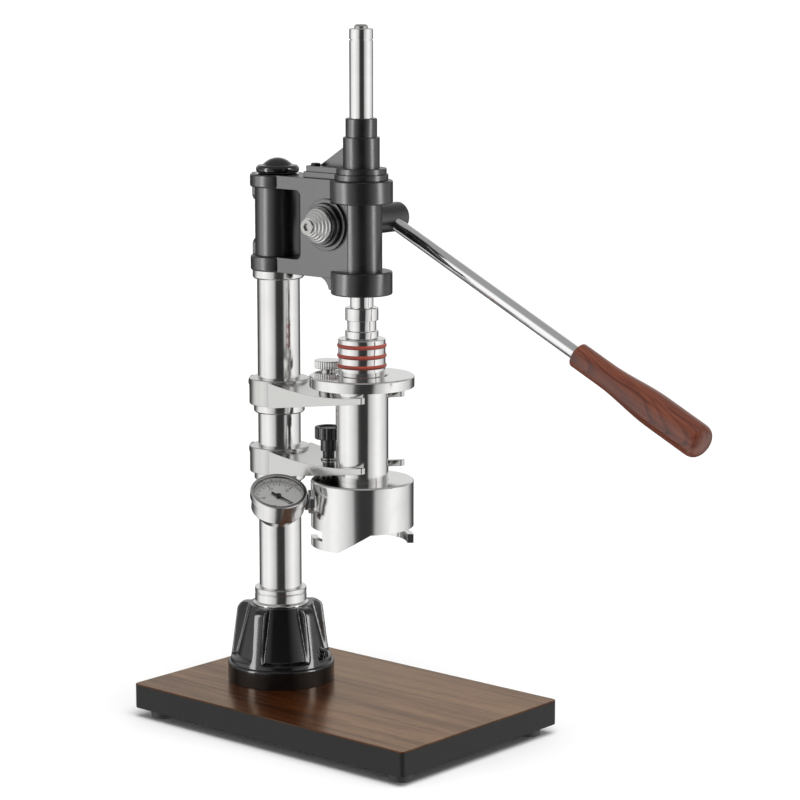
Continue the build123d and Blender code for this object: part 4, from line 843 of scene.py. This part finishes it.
# upright soft boxes for the black pieces alone, by bearing from the camera
blackFinishes = ("glossEnamel", "satinEnamel", "knobPlastic", "footRubber")
lamps = dict(
    leftStrip=dict(bearing=-66.0, wide=0.75, high=3.6, middle=0.7, power=58.0, lights=blackFinishes),
    rightStrip=dict(bearing=73.0, wide=0.75, high=3.6, middle=0.7, power=62.0, lights=blackFinishes),
    headPanel=dict(bearing=-86.0, wide=1.9, high=1.9, middle=0.66, power=21.0, lights=("satinEnamel",)),
)


def makeFloor():
    bpy.ops.object.select_all(action="DESELECT")
    bpy.ops.mesh.primitive_plane_add(size=studio["floorSize"])
    floor = bpy.context.object
    floor.name = "studio_floor"
    material = startMaterial("paleFloor", (studio["floorTone"],) * 3, 0.0, studio["floorRough"])[0]
    floor.data.materials.append(material)
    floor.visible_glossy = False  # the steel mirrors the banded room below the horizon too
    floor.visible_shadow = False


def makeWorld():
    world = bpy.data.worlds.new("studioRoom")
    bpy.context.scene.world = world
    world.use_nodes = True
    tree = world.node_tree
    back = tree.nodes["Background"]
    coords = tree.nodes.new("ShaderNodeTexCoord")
    parts = tree.nodes.new("ShaderNodeSeparateXYZ")
    tree.links.new(coords.outputs["Generated"], parts.inputs["Vector"])
    # bearing from the camera side, 0 to 1 going left round the object, 0.5 straight at the camera
    facing = radians(studio["yaw"] - 90)
    turned = tree.nodes.new("ShaderNodeVectorRotate")
    turned.rotation_type = "Z_AXIS"
    turned.inputs["Angle"].default_value = -facing
    tree.links.new(coords.outputs["Generated"], turned.inputs["Vector"])
    flat = tree.nodes.new("ShaderNodeSeparateXYZ")
    tree.links.new(turned.outputs["Vector"], flat.inputs["Vector"])
    bearing = sums(tree, "ARCTAN2", flat.outputs["Y"], flat.outputs["X"])
    share = sums(tree, "MULTIPLY_ADD", bearing, 1 / (2 * pi), 0.5)
    walls = ramp(tree, share, studio["wallBands"])
    skies = ramp(tree, share, studio["skyBands"])
    rise = sums(tree, "MULTIPLY_ADD", parts.outputs["Z"], 0.5, 0.5)
    sides = mixed(tree, "MIX", ramp(tree, rise, studio["skyline"]), walls, skies)
    top = (studio["topTone"],) * 3 + (1,)
    room = mixed(tree, "MIX", ramp(tree, rise, studio["zenith"]), sides, top)
    tree.links.new(room, back.inputs["Color"])


def makeSun():
    lamp = bpy.data.lights.new("overheadSoftbox", "SUN")
    lamp.energy = studio["sunPower"]
    lamp.angle = radians(studio["sunSpread"])
    holder = bpy.data.objects.new("overheadSoftbox", lamp)
    bpy.context.scene.collection.objects.link(holder)
    holder.rotation_euler = Vector(studio["sunLine"]).to_track_quat("-Z", "Y").to_euler()
    holder.visible_glossy = False  # highlights come from the lit bands of the room


def makeLamps():
    for name, look in lamps.items():
        litPieces = bpy.data.collections.new(name + "Pieces")
        for node, piece in finished.items():
            if pieceFinish[node]["finish"] in look["lights"]:
                litPieces.objects.link(piece)
        lamp = bpy.data.lights.new(name, "AREA")
        lamp.shape = "RECTANGLE"
        lamp.size = look["wide"]
        lamp.size_y = look["high"]
        lamp.energy = look["power"]
        holder = bpy.data.objects.new(name, lamp)
        bpy.context.scene.collection.objects.link(holder)
        angle = radians(studio["yaw"] - 90 + look["bearing"])
        outward = Vector((cos(angle), sin(angle), 0))
        holder.location = outward * studio["lampAway"] + Vector((0, 0, look["middle"]))
        holder.rotation_euler = (-outward).to_track_quat("-Z", "Y").to_euler()
        holder.light_linking.receiver_collection = litPieces


def makeCamera():
    camera = bpy.data.cameras.new("photoCamera")
    holder = bpy.data.objects.new("photoCamera", camera)
    bpy.context.scene.collection.objects.link(holder)
    camera.lens = studio["lens"]
    camera.sensor_width = studio["sensor"]
    camera.clip_end = studio["sight"]
    holder.location = studio["cameraAt"]
    holder.rotation_euler = (radians(90 - studio["pitch"]), 0, radians(studio["yaw"]))
    bpy.context.scene.camera = holder


makeFloor()
makeWorld()
makeSun()
makeLamps()
makeCamera()
bpy.context.scene.view_settings.view_transform = "Standard"
print("studio lit")
